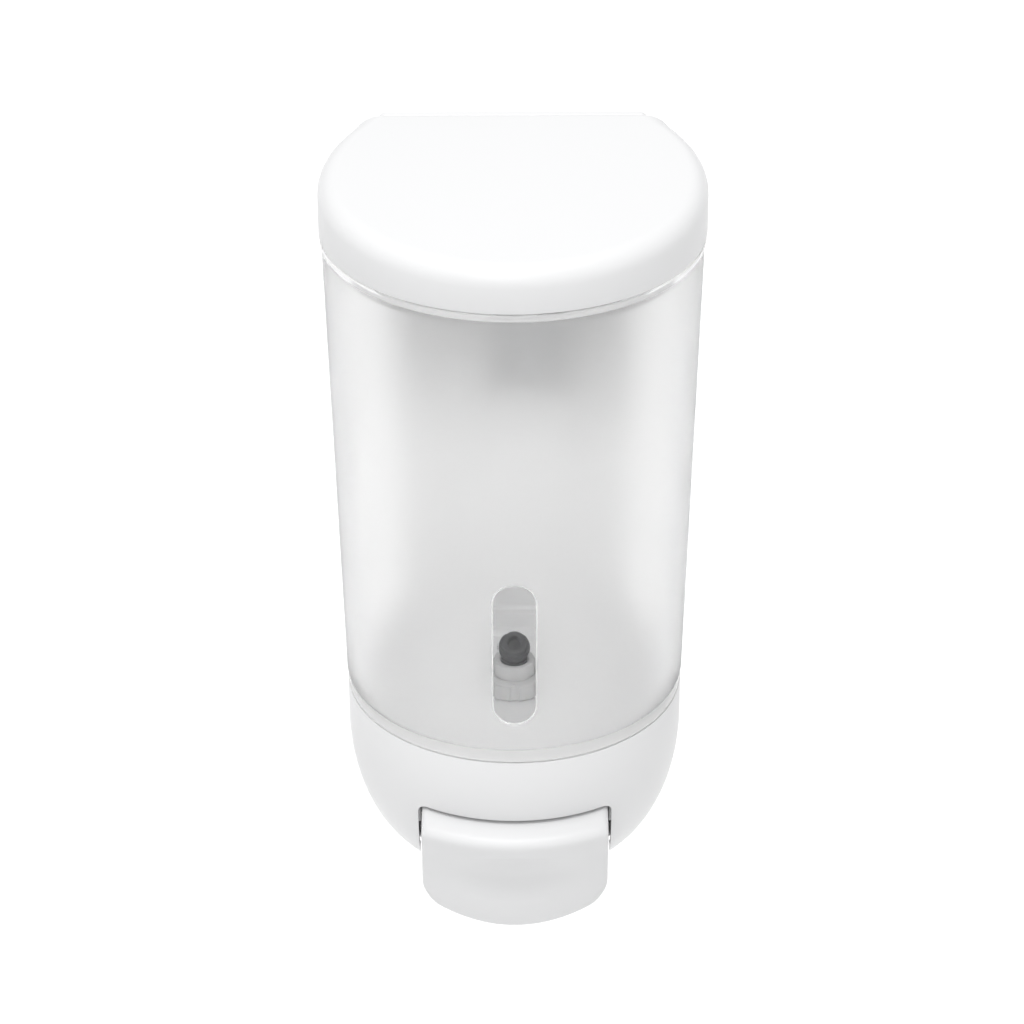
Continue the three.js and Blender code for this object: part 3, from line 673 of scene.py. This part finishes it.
def makeHook():
    x, top, half = hook["x"], hook["topZ"], hook["stemHalf"]
    low = top - hook["height"]
    stem = block((x - half, hook["stemFrontY"], low), (x + half, plateLow.y - gap, top), hook["edge"])
    piece = pieceFrom(stem, "hook_plate", pressedSteel)
    half = hook["headHalf"]
    head = block((x - half, hook["headFrontY"], low), (x + half, hook["stemFrontY"] + 0.1, top), hook["bend"])
    combine(piece, head, "UNION")
    for z in rivetZ.values():
        combine(piece, rod("y", -20, 0, (x, z), hook["rivetR"] + gap))
    finishPiece(piece, "wall_side", "steel", "hanger_hook")
    for node, z in rivetZ.items():
        back, r = hook["headFrontY"] - gap, hook["rivetR"]
        profile = [[0, -1], [r, -1], [r, back], [r + 1.1, back], [r + 0.9, back - 0.4], [0.8, back - 0.6],
                   [0, back - 0.6]]
        rivet = laidAlongY(turned(profile, (0, 0), 40, 0.1), x, z)
        finishPiece(pieceFrom(rivet, node + "_head", drawnSteel), "wall_side", "steel", node)


makePlate()
makeHook()
print("wall plate and hook made")


# tank

tank = {"topR": 48.9, "bottomR": 45.1, "wall": 2.2, "bottomZ": -56, "topZ": lidLow.z - gap, "rimR": 49.3,
        "rimHeight": 2, "band": 4, "edge": 0.4, "step": 0.25, "mouthR": 44.8, "mouthBack": -9.1,
        "collarR": 46.7, "collarHeight": 5, "collarBack": -29, "spigotR": 42.2, "spigotBack": -7.1,
        "spigotBottomZ": -63, "floorZ": -60.3, "neckHoleR": 6}
sight = {"width": 11, "bottomZ": -43.6, "topZ": -1.4, "depth": 0.5, "lip": 0.45}
pocket = {"slack": 0.4, "wall": 1.6, "frontY": -10.7, "bottomZ": -8.5, "entryZ": 16.8, "clearFromZ": 18}
boss = {"r": 3.6, "holeR": 1.5, "bottomZ": -69.5, "tabTopZ": -69.8, "tabThick": 2.4, "tabHoleR": 1.6}
baseScrews = {"left": (-27, -32), "right": (27, -32), "rear": (0, -15)}
frostedSlot, innerSlot, polishedSlot, floorSlot, bandSlot, backSlot = 0, 1, 2, 3, 4, 5


def tankRadiusAt(z):
    share = (z - tank["bottomZ"]) / (tank["topZ"] - tank["bottomZ"])
    return tank["bottomR"] + (tank["topR"] - tank["bottomR"]) * share


def tankRing(bm, z, inset=0.0):
    full = tank["topR"] - inset
    narrow = (tankRadiusAt(z) - inset) / full
    return planRing(bm, full, z, backY - inset, max(plan["corner"] - inset, 0.5), narrow)


def makeTank():
    bm = bmesh.new()
    t = tank
    rings, slots = [], []

    def add(ring, slot):
        rings.append(ring)
        slots.append(slot)

    foot, top, wall, edge, step = t["bottomZ"], t["topZ"], t["wall"], t["edge"], t["step"]
    bandTop, rimZ, collarTop = foot + t["band"], top - t["rimHeight"], top + t["collarHeight"]
    spigot, spigotBack = t["spigotR"], t["spigotBack"]
    add(planRing(bm, spigot - 0.6, t["spigotBottomZ"], spigotBack - 0.6, 3.4), innerSlot)
    add(planRing(bm, spigot, t["spigotBottomZ"] + 0.6, spigotBack, 4), innerSlot)
    add(planRing(bm, spigot, foot, spigotBack, 4), innerSlot)
    add(tankRing(bm, foot, edge), bandSlot)
    add(tankRing(bm, foot + 0.3 * edge, 0.3 * edge), bandSlot)
    add(tankRing(bm, foot + edge, step), bandSlot)
    add(tankRing(bm, bandTop - step, step), bandSlot)
    add(tankRing(bm, bandTop), frostedSlot)
    for share in (0.25, 0.5, 0.75):
        add(tankRing(bm, bandTop + (rimZ - foot - t["band"]) * share), frostedSlot)
    add(tankRing(bm, rimZ), bandSlot)
    add(planRing(bm, t["rimR"], rimZ + 0.3), bandSlot)
    add(planRing(bm, t["rimR"], top - 0.3), bandSlot)
    add(planRing(bm, t["rimR"] - 0.3, top), bandSlot)
    add(planRing(bm, t["collarR"], top, spigotBack, 5), innerSlot)
    add(planRing(bm, t["collarR"], collarTop - 0.4, spigotBack, 5), innerSlot)
    add(planRing(bm, t["collarR"] - 0.4, collarTop, spigotBack - 0.4, 4.6), innerSlot)
    add(planRing(bm, t["mouthR"] + 0.3, collarTop, t["mouthBack"] + 0.3, 4.3), innerSlot)
    add(planRing(bm, t["mouthR"], collarTop - 0.3, t["mouthBack"], 4), innerSlot)
    for ring in rings[-4:]:  # the collar is left off at the back, where the lid's skirt swings through
        for v in ringVerts(ring):
            kept = min(max((t["collarBack"] - v.co.y) / 2, 0), 1)
            v.co.z = top + 0.05 + (v.co.z - top - 0.05) * kept
    add(planRing(bm, t["mouthR"], rimZ - 1, t["mouthBack"], 4), innerSlot)
    add(tankRing(bm, rimZ - 2.5, wall), innerSlot)
    for share in (0.75, 0.5, 0.25):
        add(tankRing(bm, foot + (rimZ - foot) * share, wall), innerSlot)
    add(tankRing(bm, foot + wall + 0.8, wall), floorSlot)
    add(tankRing(bm, foot + wall, wall + 0.8), floorSlot)
    add(planRing(bm, spigot - 2, foot + wall - 0.4, spigotBack - 2, 3), floorSlot)
    add(planRing(bm, spigot - 2, t["floorZ"] + 1.5, spigotBack - 2, 3), floorSlot)
    add(planRing(bm, spigot - 3.5, t["floorZ"], spigotBack - 3.5, 1.5), floorSlot)
    piece = pieceFrom(loft(bm, rings, slots), "tank_shell", frosted, innerSkin, polished, floorPlastic,
                      bandPlastic, backPlastic)
    addHingeLug(piece)
    addPocket(piece)
    cutSightWindow(piece, sight["lip"], sight["depth"] / 2, bandSlot)
    cutSightWindow(piece, 0, sight["depth"], polishedSlot)
    for at in baseScrews.values():
        post = rod("z", boss["bottomZ"], t["floorZ"] - 1, at, boss["r"], 36, material=innerSlot)
        combine(piece, post, "UNION")
        combine(piece, rod("z", boss["bottomZ"] - 1, boss["bottomZ"] + 5.6, at, boss["holeR"], 24,
                           material=innerSlot))
    combine(piece, rod("z", t["spigotBottomZ"] - 1, t["floorZ"] + 1, (0, pumpY), t["neckHoleR"],
                       material=innerSlot))
    cloudAndShadeBack(piece)
    finishPiece(piece, "dispenser", "frosted_plastic", "tank", sharp=24)


def addHingeLug(piece):
    half, y, z = hinge["lugHalf"], hinge["y"], hinge["z"]
    combine(piece, block((-half, y, tank["topZ"] - 1), (half, y + hinge["slab"], z), 0, innerSlot), "UNION")
    combine(piece, rod("x", -half, half, (y, z), hinge["knuckleR"], material=innerSlot), "UNION")
    combine(piece, rod("x", -half - 1, half + 1, (y, z), hinge["holeR"], material=innerSlot))


def addPocket(piece):  # a box inside the back wall that drops over the hook, its entry below
    x, wall, front, low = hook["x"], pocket["wall"], pocket["frontY"], pocket["bottomZ"]
    half, slot = hook["headHalf"] + pocket["slack"], hook["stemHalf"] + pocket["slack"]
    top = hook["topZ"] + gap
    box = block((x - half - wall, front - wall, low - wall), (x + half + wall, backY - 1, top + wall), 0,
                innerSlot)
    combine(piece, box, "UNION")
    for start, end in (((x - half, front, low), (x + half, backY - tank["wall"], top)),
                       ((x - half, front + hair, low + hair), (x + half, 1, pocket["entryZ"])),
                       ((x - slot, backY - tank["wall"] - 1, low + 2 * hair), (x + slot, 1, top - hair))):
        combine(piece, block(start, end, 0, innerSlot))


def cloudAndShadeBack(piece):  # the back wall and the lower half of the pocket are as cloudy as the floor; the back wall's inner face and the pocket's lower half also carry the painted shade that darkens towards the top
    reach, split = hook["headHalf"] + pocket["slack"] + pocket["wall"] + 0.1, pocket["clearFromZ"]
    front, low = pocket["frontY"] - pocket["wall"] - 0.1, pocket["bottomZ"] - pocket["wall"] - 0.1
    bm = bmesh.new()
    bm.from_mesh(piece.data)
    bmesh.ops.bisect_plane(bm, geom=bm.verts[:] + bm.edges[:] + bm.faces[:], plane_co=(0, 0, split),
                           plane_no=(0, 0, 1))
    for face in bm.faces:
        at, normal = face.calc_center_median(), face.normal
        if abs(at.x - hook["x"]) < reach and front < at.y < backY - 0.1 and low < at.z < split:
            face.material_index = backSlot
        if at.y > backY - tank["wall"] - 0.5 and abs(normal.y) > 0.9 and at.z < tank["topZ"] - 2:
            face.material_index = backSlot if normal.y < 0 else floorSlot
    bm.to_mesh(piece.data)
    bm.free()


def cutSightWindow(piece, grow, depth, slot):  # a stadium in the front wall, its floor parallel to the wall
    r = sight["width"] / 2 + grow
    bm = bmesh.new()
    bmesh.ops.create_circle(bm, cap_ends=True, radius=r, segments=48)
    bmesh.ops.rotate(bm, cent=(0, 0, 0), matrix=Matrix.Rotation(math.pi / 2, 3, "X"), verts=bm.verts)
    tall = sight["topZ"] - sight["bottomZ"] + 2 * grow - 2 * r
    for v in bm.verts:
        v.co.z += tall / 2 if v.co.z > 0 else -tall / 2
    bmesh.ops.translate(bm, vec=(0, -100, (sight["topZ"] + sight["bottomZ"]) / 2), verts=bm.verts)
    pushed = bmesh.ops.extrude_face_region(bm, geom=bm.faces[:])["geom"]
    bmesh.ops.translate(bm, vec=(0, 30, 0), verts=[v for v in pushed if isinstance(v, bmesh.types.BMVert)])
    bmesh.ops.recalc_face_normals(bm, faces=bm.faces)
    for face in bm.faces:
        face.material_index = slot
    cutter = pieceFrom(bm, "cutter", *piece.data.materials)
    core = bmesh.new()
    rings = [tankRing(core, z, depth) for z in (tank["bottomZ"], tank["topZ"])]
    combine(cutter, loft(core, rings, [slot, slot]))
    combine(piece, cutter)


makeTank()
print("tank made")


# base: bowl, cover and screws

base = {"rimR": baseHigh.x, "rimZ": baseHigh.z, "bottomZ": baseLow.z, "wall": 2.4, "straight": 11,
        "cornerR": 20.4, "cornerZ": 37, "steps": 16, "edge": 0.4}
cutout = {"half": 25.75, "topZ": -74.8, "backY": -50, "corner": 2.5}
cover = {"topZ": -99.5, "frontY": -62, "holeR": 7}
coverScrews = {"left": (-23.5, -21), "right": (23.5, -21)}
pivot = {"y": -65.5, "z": -80, "pinR": 1.5, "holeR": 1.8, "pinHalf": 27.4, "lugR": 4, "lugInner": 25.2,
         "armHalf": 1.5, "armReach": 12}


def baseRadiusAt(z):
    drop = base["rimZ"] - z - base["straight"]
    if drop <= 0:
        return base["rimR"]
    return base["rimR"] - base["cornerR"] * (1 - math.sqrt(1 - (drop / base["cornerZ"]) ** 2))


def baseHeights():
    curveTop = base["rimZ"] - base["straight"]
    last = math.asin((curveTop - base["bottomZ"]) / base["cornerZ"])
    return [curveTop - base["cornerZ"] * math.sin(last * i / base["steps"]) for i in range(base["steps"] + 1)]


def baseRing(bm, z, inset=0.0):
    full = base["rimR"] - inset
    narrow = (baseRadiusAt(z) - inset) / full
    return planRing(bm, full, z, backY - inset, max(plan["corner"] - inset, 0.5), narrow)


def baseOutside(inset):
    bm = bmesh.new()
    return loft(bm, [baseRing(bm, z, inset) for z in [base["rimZ"]] + baseHeights()])


def withinBase(bm):  # a rib or lug, cut off inside the bowl's wall
    piece = pieceFrom(bm, "rib", glossWhite)
    return combine(piece, baseOutside(base["wall"] / 3), "INTERSECT")


def makeBase():
    bm = bmesh.new()
    rim, edge, wall = base["rimZ"], base["edge"], base["wall"]
    rings = [baseRing(bm, rim, wall - 0.3), baseRing(bm, rim, edge),
             baseRing(bm, rim - 0.3 * edge, 0.3 * edge), baseRing(bm, rim - edge)]
    rings += [baseRing(bm, z) for z in baseHeights()]
    rings += [baseRing(bm, z, wall) for z in baseHeights()[::-1]] + [baseRing(bm, rim - 0.3, wall)]
    piece = pieceFrom(loft(bm, rings, closed=True), "base_bowl", glossWhite)

    c = cutout
    opening = block((-c["half"], -120, base["bottomZ"] - 8), (c["half"], c["backY"], c["topZ"]))
    cornersCut(opening, c["corner"], 6, lambda z: z > c["topZ"] - 1)
    combine(piece, opening)

    y, z, arm = pivot["y"], pivot["z"], pivot["armHalf"]
    for side in (-1, 1):
        near, far = sorted((side * pivot["lugInner"], side * 40))
        combine(piece, withinBase(rod("x", near, far, (y, z), pivot["lugR"])), "UNION")
        combine(piece, withinBase(block((near, y - arm, z - arm), (far, y + pivot["armReach"], z + arm))),
                "UNION")
        combine(piece, rod("x", side * 20, side * (pivot["pinHalf"] + gap), (y, z), pivot["holeR"]))
    tabTop, tabLow = boss["tabTopZ"], boss["tabTopZ"] - boss["tabThick"]
    for x, y in baseScrews.values():
        reach = block((-4, y, tabLow), (4, 0, tabTop)) if x == 0 else \
            block((min(x, 2 * x), y - 4, tabLow), (max(x, 2 * x), y + 4, tabTop))
        combine(piece, withinBase(rod("z", tabLow, tabTop, (x, y), 4)), "UNION")
        combine(piece, withinBase(reach), "UNION")
        combine(piece, rod("z", tabTop - 10, tabTop + 1, (x, y), boss["tabHoleR"], 32))
    for x, y in coverScrews.values():
        low = cover["topZ"] + gap
        rib = block((min(x, 2 * x), y - 1.5, low), (max(x, 2 * x), y + 1.5, low + 9))
        combine(piece, withinBase(rod("z", low, low + 9, (x, y), 3.2)), "UNION")
        combine(piece, withinBase(rib), "UNION")
        combine(piece, rod("z", low - 1, low + 6.5, (x, y), boss["holeR"], 32))
    finishPiece(piece, "dispenser", "white_plastic", "base_housing", sharp=30)


def makeBaseCover():
    bm = bmesh.new()
    inset = base["wall"] + gap
    full = base["rimR"] - inset
    narrow = (baseRadiusAt(base["bottomZ"]) - base["wall"] - 2 * gap) / full
    rings = [planRing(bm, full - cut, z, backY - inset - cut, 3.3 - cut, narrow) for z, cut in (
        (base["bottomZ"], 0.4), (base["bottomZ"] + 0.4, 0), (cover["topZ"], 0))]
    piece = pieceFrom(loft(bm, rings), "base_cover_plate", glossWhite)
    combine(piece, block((-60, -120, base["bottomZ"] - 1), (60, cover["frontY"], cover["topZ"] + 1)))
    combine(piece, rod("z", base["bottomZ"] - 1, cover["topZ"] + 1, (0, pumpY), cover["holeR"], 64))
    for x, y in coverScrews.values():
        combine(piece, rod("z", base["bottomZ"] - 1, cover["topZ"] + 1, (x, y), boss["tabHoleR"], 32))
    finishPiece(piece, "dispenser", "white_plastic", "base_cover")


screw = {"headR": 2.9, "headHeight": 1.8, "shankR": 1.2, "length": 7, "crossHalf": 1.7, "crossWidth": 0.75,
         "crossDepth": 1.1}


def makeScrew(node, at, seat):
    s = screw
    top = seat - gap
    head = top - s["headHeight"]
    profile = [[0, head], [s["headR"] * 0.55, head], [s["headR"] * 0.9, head + 0.35],
               [s["headR"], head + 0.9], [s["headR"], top], [s["shankR"], top]]
    for i in range(8):  # thread ridges
        z = top + 1 + i * 0.6
        profile += [[s["shankR"] - 0.15, z], [s["shankR"] + 0.1, z + 0.3]]
    profile += [[s["shankR"] - 0.2, seat + s["length"] - 1], [0, seat + s["length"]]]
    piece = pieceFrom(turned(profile, at, 40, 0), node + "_part", zincScrew)
    for half, width in ((s["crossHalf"], s["crossWidth"] / 2), (s["crossWidth"] / 2, s["crossHalf"])):
        combine(piece, block((at[0] - half, at[1] - width, head - 1),
                             (at[0] + half, at[1] + width, head + s["crossDepth"])))
    finishPiece(piece, "dispenser", "screw_steel", node)


makeBase()
makeBaseCover()
for side, at in baseScrews.items():
    makeScrew("base_screw_" + side, at, boss["tabTopZ"] - boss["tabThick"])
for side, at in coverScrews.items():
    makeScrew("cover_screw_" + side, at, base["bottomZ"])
print("base made")


# button

button = {"half": 24.8, "wall": 2.4, "edge": 0.9, "planArc": 47, "bendFromY": -70, "bendRun": 8,
          "lipArc": 57, "lipFromZ": -92, "lipZ": -109, "lowerCorner": 5, "lowerFromZ": -98, "lowerRun": 10,
          "upperCorner": 1.6, "upperFromZ": -79.5, "upperRun": 2, "dishHalf": 21, "dishZ": -91.5,
          "dishTall": 9, "dishDepth": 2.2, "dishFromY": -80, "acrossSteps": 60}
fork = {"slotHalf": 5.5, "armHalf": 9.5, "tipY": -33, "slotY": -45.5, "rootY": -52, "topZ": -96.5,
        "thick": 1.8, "crownR": 1.8}
buttonFace = [(-61, -76.4), (-70, -75.5), (-79, -75.8), (-84, -76.8), (-86.1, -77.8), (-86.9, -79.5),
              (-86.2, -82.5), (-84.3, -87.5), (-83, -94), (-82.7, -100), (-82.3, -104.4), (-81.4, -107.6),
              (-79.6, -109)]  # the side outline in [y, z], from the shelf down the front to the lip
buttonCheek = [(-78, -108.2), (-77, -104), (-74, -98.3), (-58, -98.3), (-60, -84)]
buttonHollow = [(-77, -77.9), (-81.6, -79.3), (-82.2, -80.8), (-79.8, -86), (-78.6, -94), (-78.4, -101),
                (-76.4, -112), (-50, -112), (-50, -77.9)]


def eased(points, steps):  # a smooth line through the points
    line = []
    for i in range(len(points) - 1):
        a, b, c, d = (Vector(points[min(max(i + k, 0), len(points) - 1)]) for k in (-1, 0, 1, 2))
        for k in range(steps):
            t = k / steps
            line.append(0.5 * ((2 * b) + (c - a) * t + (2 * a - 5 * b + 4 * c - d) * t * t
                               + (3 * b - a - 3 * c + d) * t ** 3))
    return line + [Vector(points[-1])]


def pushedAcross(outline, half, steps):  # a side outline of [y, z], carried from -half to half
    bm = bmesh.new()
    verts = [bm.verts.new((-half, y, z)) for y, z in outline]
    edges = [bm.edges.new(pair) for pair in zip(verts, verts[1:] + verts[:1])]
    bmesh.ops.spin(bm, geom=verts + edges, cent=(0, 0, 0), axis=(1, 0, 0), dvec=(2 * half / steps, 0, 0),
                   angle=0, steps=steps)
    bmesh.ops.holes_fill(bm, edges=[e for e in bm.edges if e.is_boundary])
    bmesh.ops.recalc_face_normals(bm, faces=bm.faces)
    return bm


def within(value):
    return min(1, max(0, value))


def cornerRise(x, radius):  # how far a rounded corner is off the edge line at x
    past = min(max(abs(x) - button["half"] + radius, 0), radius)
    return radius - math.sqrt(radius * radius - past * past)


def bend(bm, dished=False):  # the front follows an arc in plan, and the lower lip an arc in the front view
    b = button
    for v in bm.verts:
        x, y, z = v.co
        front = within((b["bendFromY"] - y) / b["bendRun"])
        low = within((b["lipFromZ"] - z) / (b["lipFromZ"] - b["lipZ"]))
        v.co.y += front * x * x / (2 * b["planArc"])
        v.co.z += low * x * x / (2 * b["lipArc"])
        v.co.z += cornerRise(x, b["lowerCorner"]) * within((b["lowerFromZ"] - z) / b["lowerRun"])
        v.co.z -= cornerRise(x, b["upperCorner"]) * within((z - b["upperFromZ"]) / b["upperRun"])
        if dished and y < b["dishFromY"]:
            away = (x / b["dishHalf"]) ** 2 + ((z - b["dishZ"]) / b["dishTall"]) ** 2
            if away < 1:
                v.co.y += b["dishDepth"] * (1 - away) ** 1.5
    return bm


def makeButton():
    b = button
    outline = eased(buttonFace, 5) + [Vector(p) for p in buttonCheek]
    shell = pushedAcross(outline, b["half"], b["acrossSteps"])
    soften(shell, b["edge"], 4, 50, lambda e: all(abs(v.co.x) > b["half"] - hair for v in e.verts))
    piece = pieceFrom(bend(shell, True), "push_button", buttonShadedWhite)
    inner = b["half"] - b["wall"]
    combine(piece, bend(pushedAcross(buttonHollow, inner, 24)))
    top, root, arm = fork["topZ"], fork["rootY"], fork["armHalf"]
    low = top - fork["thick"]
    combine(piece, block((-inner - 0.5, root - 10, low), (inner + 0.5, root + 1, top)), "UNION")
    for side in (-1, 1):
        near, far = sorted((side * fork["slotHalf"], side * arm))
        combine(piece, block((near, root, low), (far, fork["tipY"], top)), "UNION")
        crown = pieceFrom(rod("x", near, far, (pumpY, top - 1), fork["crownR"]), "crown", buttonShadedWhite)
        combine(crown, block((-30, -60, low - 10), (30, -20, low)))
        combine(piece, crown, "UNION")
    combine(piece, block((-arm, root, low), (arm, fork["slotY"], top)), "UNION")
    combine(piece, rod("x", -40, 40, (pivot["y"], pivot["z"]), pivot["holeR"]))
    finishPiece(piece, "button", "button_white", "button", sharp=28)
    pin = rod("x", -pivot["pinHalf"], pivot["pinHalf"], (pivot["y"], pivot["z"]), pivot["pinR"],
              round=hinge["pinRound"])
    finishPiece(pieceFrom(pin, "button_pivot_pin", drawnSteel), "dispenser", "steel", "button_pin")


makeButton()
print("button made")


# pump

pump = {"neckR": 5.5, "neckBore": 4, "neckTopZ": pumpHigh.z, "flangeR": 12, "flangeZ": -64.5,
        "flangeThick": 2.2, "barrelR": 9.5, "barrelBore": 7.5, "barrelZ": pumpLow.z, "boreTopZ": -67.5}
stem = {"r": 3, "bore": 1.5, "topZ": -75, "bottomZ": -98}
collar = {"r": 7.5, "topZ": -93.6, "bottomZ": -95.4}


def makeChamber():
    p = pump
    flangeLow = p["flangeZ"] - p["flangeThick"]
    body = turned([[p["neckBore"], p["neckTopZ"]], [p["neckBore"], p["boreTopZ"]],
                   [p["barrelBore"], p["boreTopZ"]], [p["barrelBore"], p["barrelZ"]],
                   [p["barrelR"], p["barrelZ"]], [p["barrelR"], flangeLow], [p["flangeR"], flangeLow],
                   [p["flangeR"], p["flangeZ"]], [p["neckR"], p["flangeZ"]], [p["neckR"], p["neckTopZ"]]],
                  round=0.25)
    finishPiece(pieceFrom(body, "pump_chamber", clearStyrene), "dispenser", "clear_plastic", "pump_body")


neckNut = {"r": 9, "height": 4.7, "flutes": 8, "fluteAt": 10, "fluteR": 1.8}


def makeNeckNut():
    n = neckNut
    floor = tank["floorZ"] + gap
    bore, top = pump["neckR"] + gap, floor + n["height"]
    nut = pieceFrom(turned([[bore, floor], [n["r"], floor], [n["r"], top], [bore, top]], round=0.4),
                    "neck_nut", nutPlastic)
    for i in range(n["flutes"]):
        angle = 2 * math.pi * i / n["flutes"]
        at = (n["fluteAt"] * math.cos(angle), pumpY + n["fluteAt"] * math.sin(angle))
        combine(nut, rod("z", floor - 1, floor + 6, at, n["fluteR"], 24))
    finishPiece(nut, "dispenser", "clear_plastic", "pump_nut")


gasket = {"bore": 6.3, "r": 10.5}


def makeGasket():
    low, high = pump["flangeZ"] + gap, tank["spigotBottomZ"] - gap
    washer = turned([[gasket["bore"], low], [gasket["r"], low], [gasket["r"], high], [gasket["bore"], high]])
    finishPiece(pieceFrom(washer, "neck_gasket", greyRubber), "dispenser", "grey_rubber", "pump_gasket")


valve = {"plugDepth": 4.5, "stalkR": 2.2, "rise": 2.6, "lean": 30, "ringR": 4.4, "ringHeight": 1.8,
         "hatR": 3.5, "hatHeight": 3.8, "holeR": 1.9, "holeDepth": 2}


def makeInletValve():  # a plug in the neck's bore and a ringed hat that leans to the front
    v = valve
    seat = pump["neckTopZ"] + gap
    plugR, plugLow, top = pump["neckBore"] - gap, seat - v["plugDepth"], seat + v["rise"] + 1
    holeLow = v["hatHeight"] - v["holeDepth"]
    plug = turned([[0, plugLow], [plugR, plugLow], [plugR, seat], [v["stalkR"], seat], [v["stalkR"], top],
                   [0, top]])
    hat = turned([[0, 0], [v["ringR"], 0], [v["ringR"], v["ringHeight"]], [v["hatR"], v["ringHeight"]],
                  [v["hatR"], v["hatHeight"]], [v["holeR"], v["hatHeight"]], [v["holeR"], holeLow],
                  [0, holeLow]], (0, 0), round=0.35)
    lean = Matrix.Rotation(math.radians(v["lean"]), 3, "X")
    bmesh.ops.rotate(hat, cent=(0, 0, 0), matrix=lean, verts=hat.verts)
    bmesh.ops.translate(hat, vec=(0, pumpY, seat + v["rise"]), verts=hat.verts)
    piece = combine(pieceFrom(plug, "inlet_valve_hat", greyRubber), hat, "UNION")
    finishPiece(piece, "dispenser", "grey_rubber", "inlet_valve")


endCap = {"bore": 3.5, "r": 11, "foot": 2.6, "skirt": 5}


def makePumpCap():
    c, disc, sleeve = endCap, pump["barrelZ"] - gap, pump["barrelR"] + gap
    cap = turned([[c["bore"], disc], [c["bore"], disc - c["foot"]], [c["r"], disc - c["foot"]],
                  [c["r"], disc + c["skirt"]], [sleeve, disc + c["skirt"]], [sleeve, disc]], round=0.3)
    finishPiece(pieceFrom(cap, "chamber_cap", pumpWhite), "dispenser", "white_plastic", "pump_cap")


piston = {"rimR": 7, "rimHeight": 0.9, "waistR": 6, "height": 4.4, "ride": 0.2}
lips = {"innerR": 6.3, "lipR": 7.2, "waistR": 6.8, "height": 2.8, "ride": 1.4}


def makePiston():
    p, bore, low = piston, stem["r"] + gap, pump["barrelZ"] + piston["ride"]
    rim, top = low + p["rimHeight"], low + p["height"]
    head = turned([[bore, low], [p["rimR"], low], [p["rimR"], rim], [p["waistR"], rim], [p["waistR"], top],
                   [bore, top]])
    finishPiece(pieceFrom(head, "piston_head", pumpWhite), "plunger", "white_plastic", "piston")

    r, low = lips, pump["barrelZ"] + lips["ride"]
    top = low + r["height"]
    seal = turned([[r["innerR"], low], [r["lipR"], low], [r["waistR"], low + r["height"] / 2],
                   [r["lipR"], top], [r["innerR"], top]], round=0.1)
    finishPiece(pieceFrom(seal, "piston_lips", greyRubber), "plunger", "grey_rubber", "piston_seal")


nozzle = {"bore": 1.6, "mouthR": 2.9, "mouthZ": -104, "tipR": 3.6, "tipZ": -107.6, "shoulderR": 4.4}
bill = {"slit": 0.5, "tipR": 1.4, "tipZ": -107.2, "r": 2.6, "shoulderZ": -105.6, "topZ": -104.3}


def makePlunger():
    tube = turned([[stem["bore"], stem["bottomZ"]], [stem["r"], stem["bottomZ"]], [stem["r"], stem["topZ"]],
                   [stem["bore"], stem["topZ"]]])
    finishPiece(pieceFrom(tube, "plunger_tube", pumpWhite), "plunger", "white_plastic", "plunger_stem")

    bore = stem["r"] + gap
    n, seat = nozzle, stem["bottomZ"] - gap
    spout = turned([[bore, collar["topZ"]], [bore, seat], [n["bore"], seat], [n["bore"], n["mouthZ"]],
                    [n["mouthR"], n["mouthZ"]], [n["mouthR"], n["tipZ"]], [n["tipR"], n["tipZ"]],
                    [n["shoulderR"], collar["bottomZ"]], [collar["r"], collar["bottomZ"]],
                    [collar["r"], collar["topZ"]]], round=0.25)
    finishPiece(pieceFrom(spout, "spout_collar", pumpWhite), "plunger", "white_plastic", "nozzle")

    b = bill
    duck = turned([[b["slit"], b["topZ"]], [b["slit"], b["tipZ"]], [b["tipR"], b["tipZ"]],
                   [b["r"], b["shoulderZ"]], [b["r"], b["topZ"]]], round=0.1)
    finishPiece(pieceFrom(duck, "spout_valve", greyRubber), "plunger", "grey_rubber", "nozzle_valve")


spring = {"radius": 5.4, "wire": 0.45, "topZ": -83.2, "bottomZ": -92.8, "turns": 4, "stepsPerTurn": 40,
          "seatZ": -82.7, "keep": 0.39}


def makeSpring():
    s = spring
    bm = bmesh.new()
    bmesh.ops.create_circle(bm, radius=s["wire"], segments=12)
    bmesh.ops.rotate(bm, cent=(0, 0, 0), matrix=Matrix.Rotation(math.pi / 2, 3, "X"), verts=bm.verts)
    bmesh.ops.translate(bm, vec=(s["radius"], pumpY, s["bottomZ"]), verts=bm.verts)
    steps = s["turns"] * s["stepsPerTurn"]
    bmesh.ops.spin(bm, geom=bm.verts[:] + bm.edges[:], cent=(0, pumpY, 0), axis=(0, 0, 1),
                   dvec=(0, 0, (s["topZ"] - s["bottomZ"]) / steps), angle=2 * math.pi * s["turns"],
                   steps=steps)
    bmesh.ops.holes_fill(bm, edges=[e for e in bm.edges if e.is_boundary])
    bmesh.ops.recalc_face_normals(bm, faces=bm.faces)
    piece = finishPiece(pieceFrom(bm, "plunger_spring", drawnSteel), "dispenser", "steel", "return_spring")
    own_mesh(piece)


makeChamber()
makeNeckNut()
makeGasket()
makeInletValve()
makePumpCap()
makePiston()
makePlunger()
makeSpring()
print("pump made")
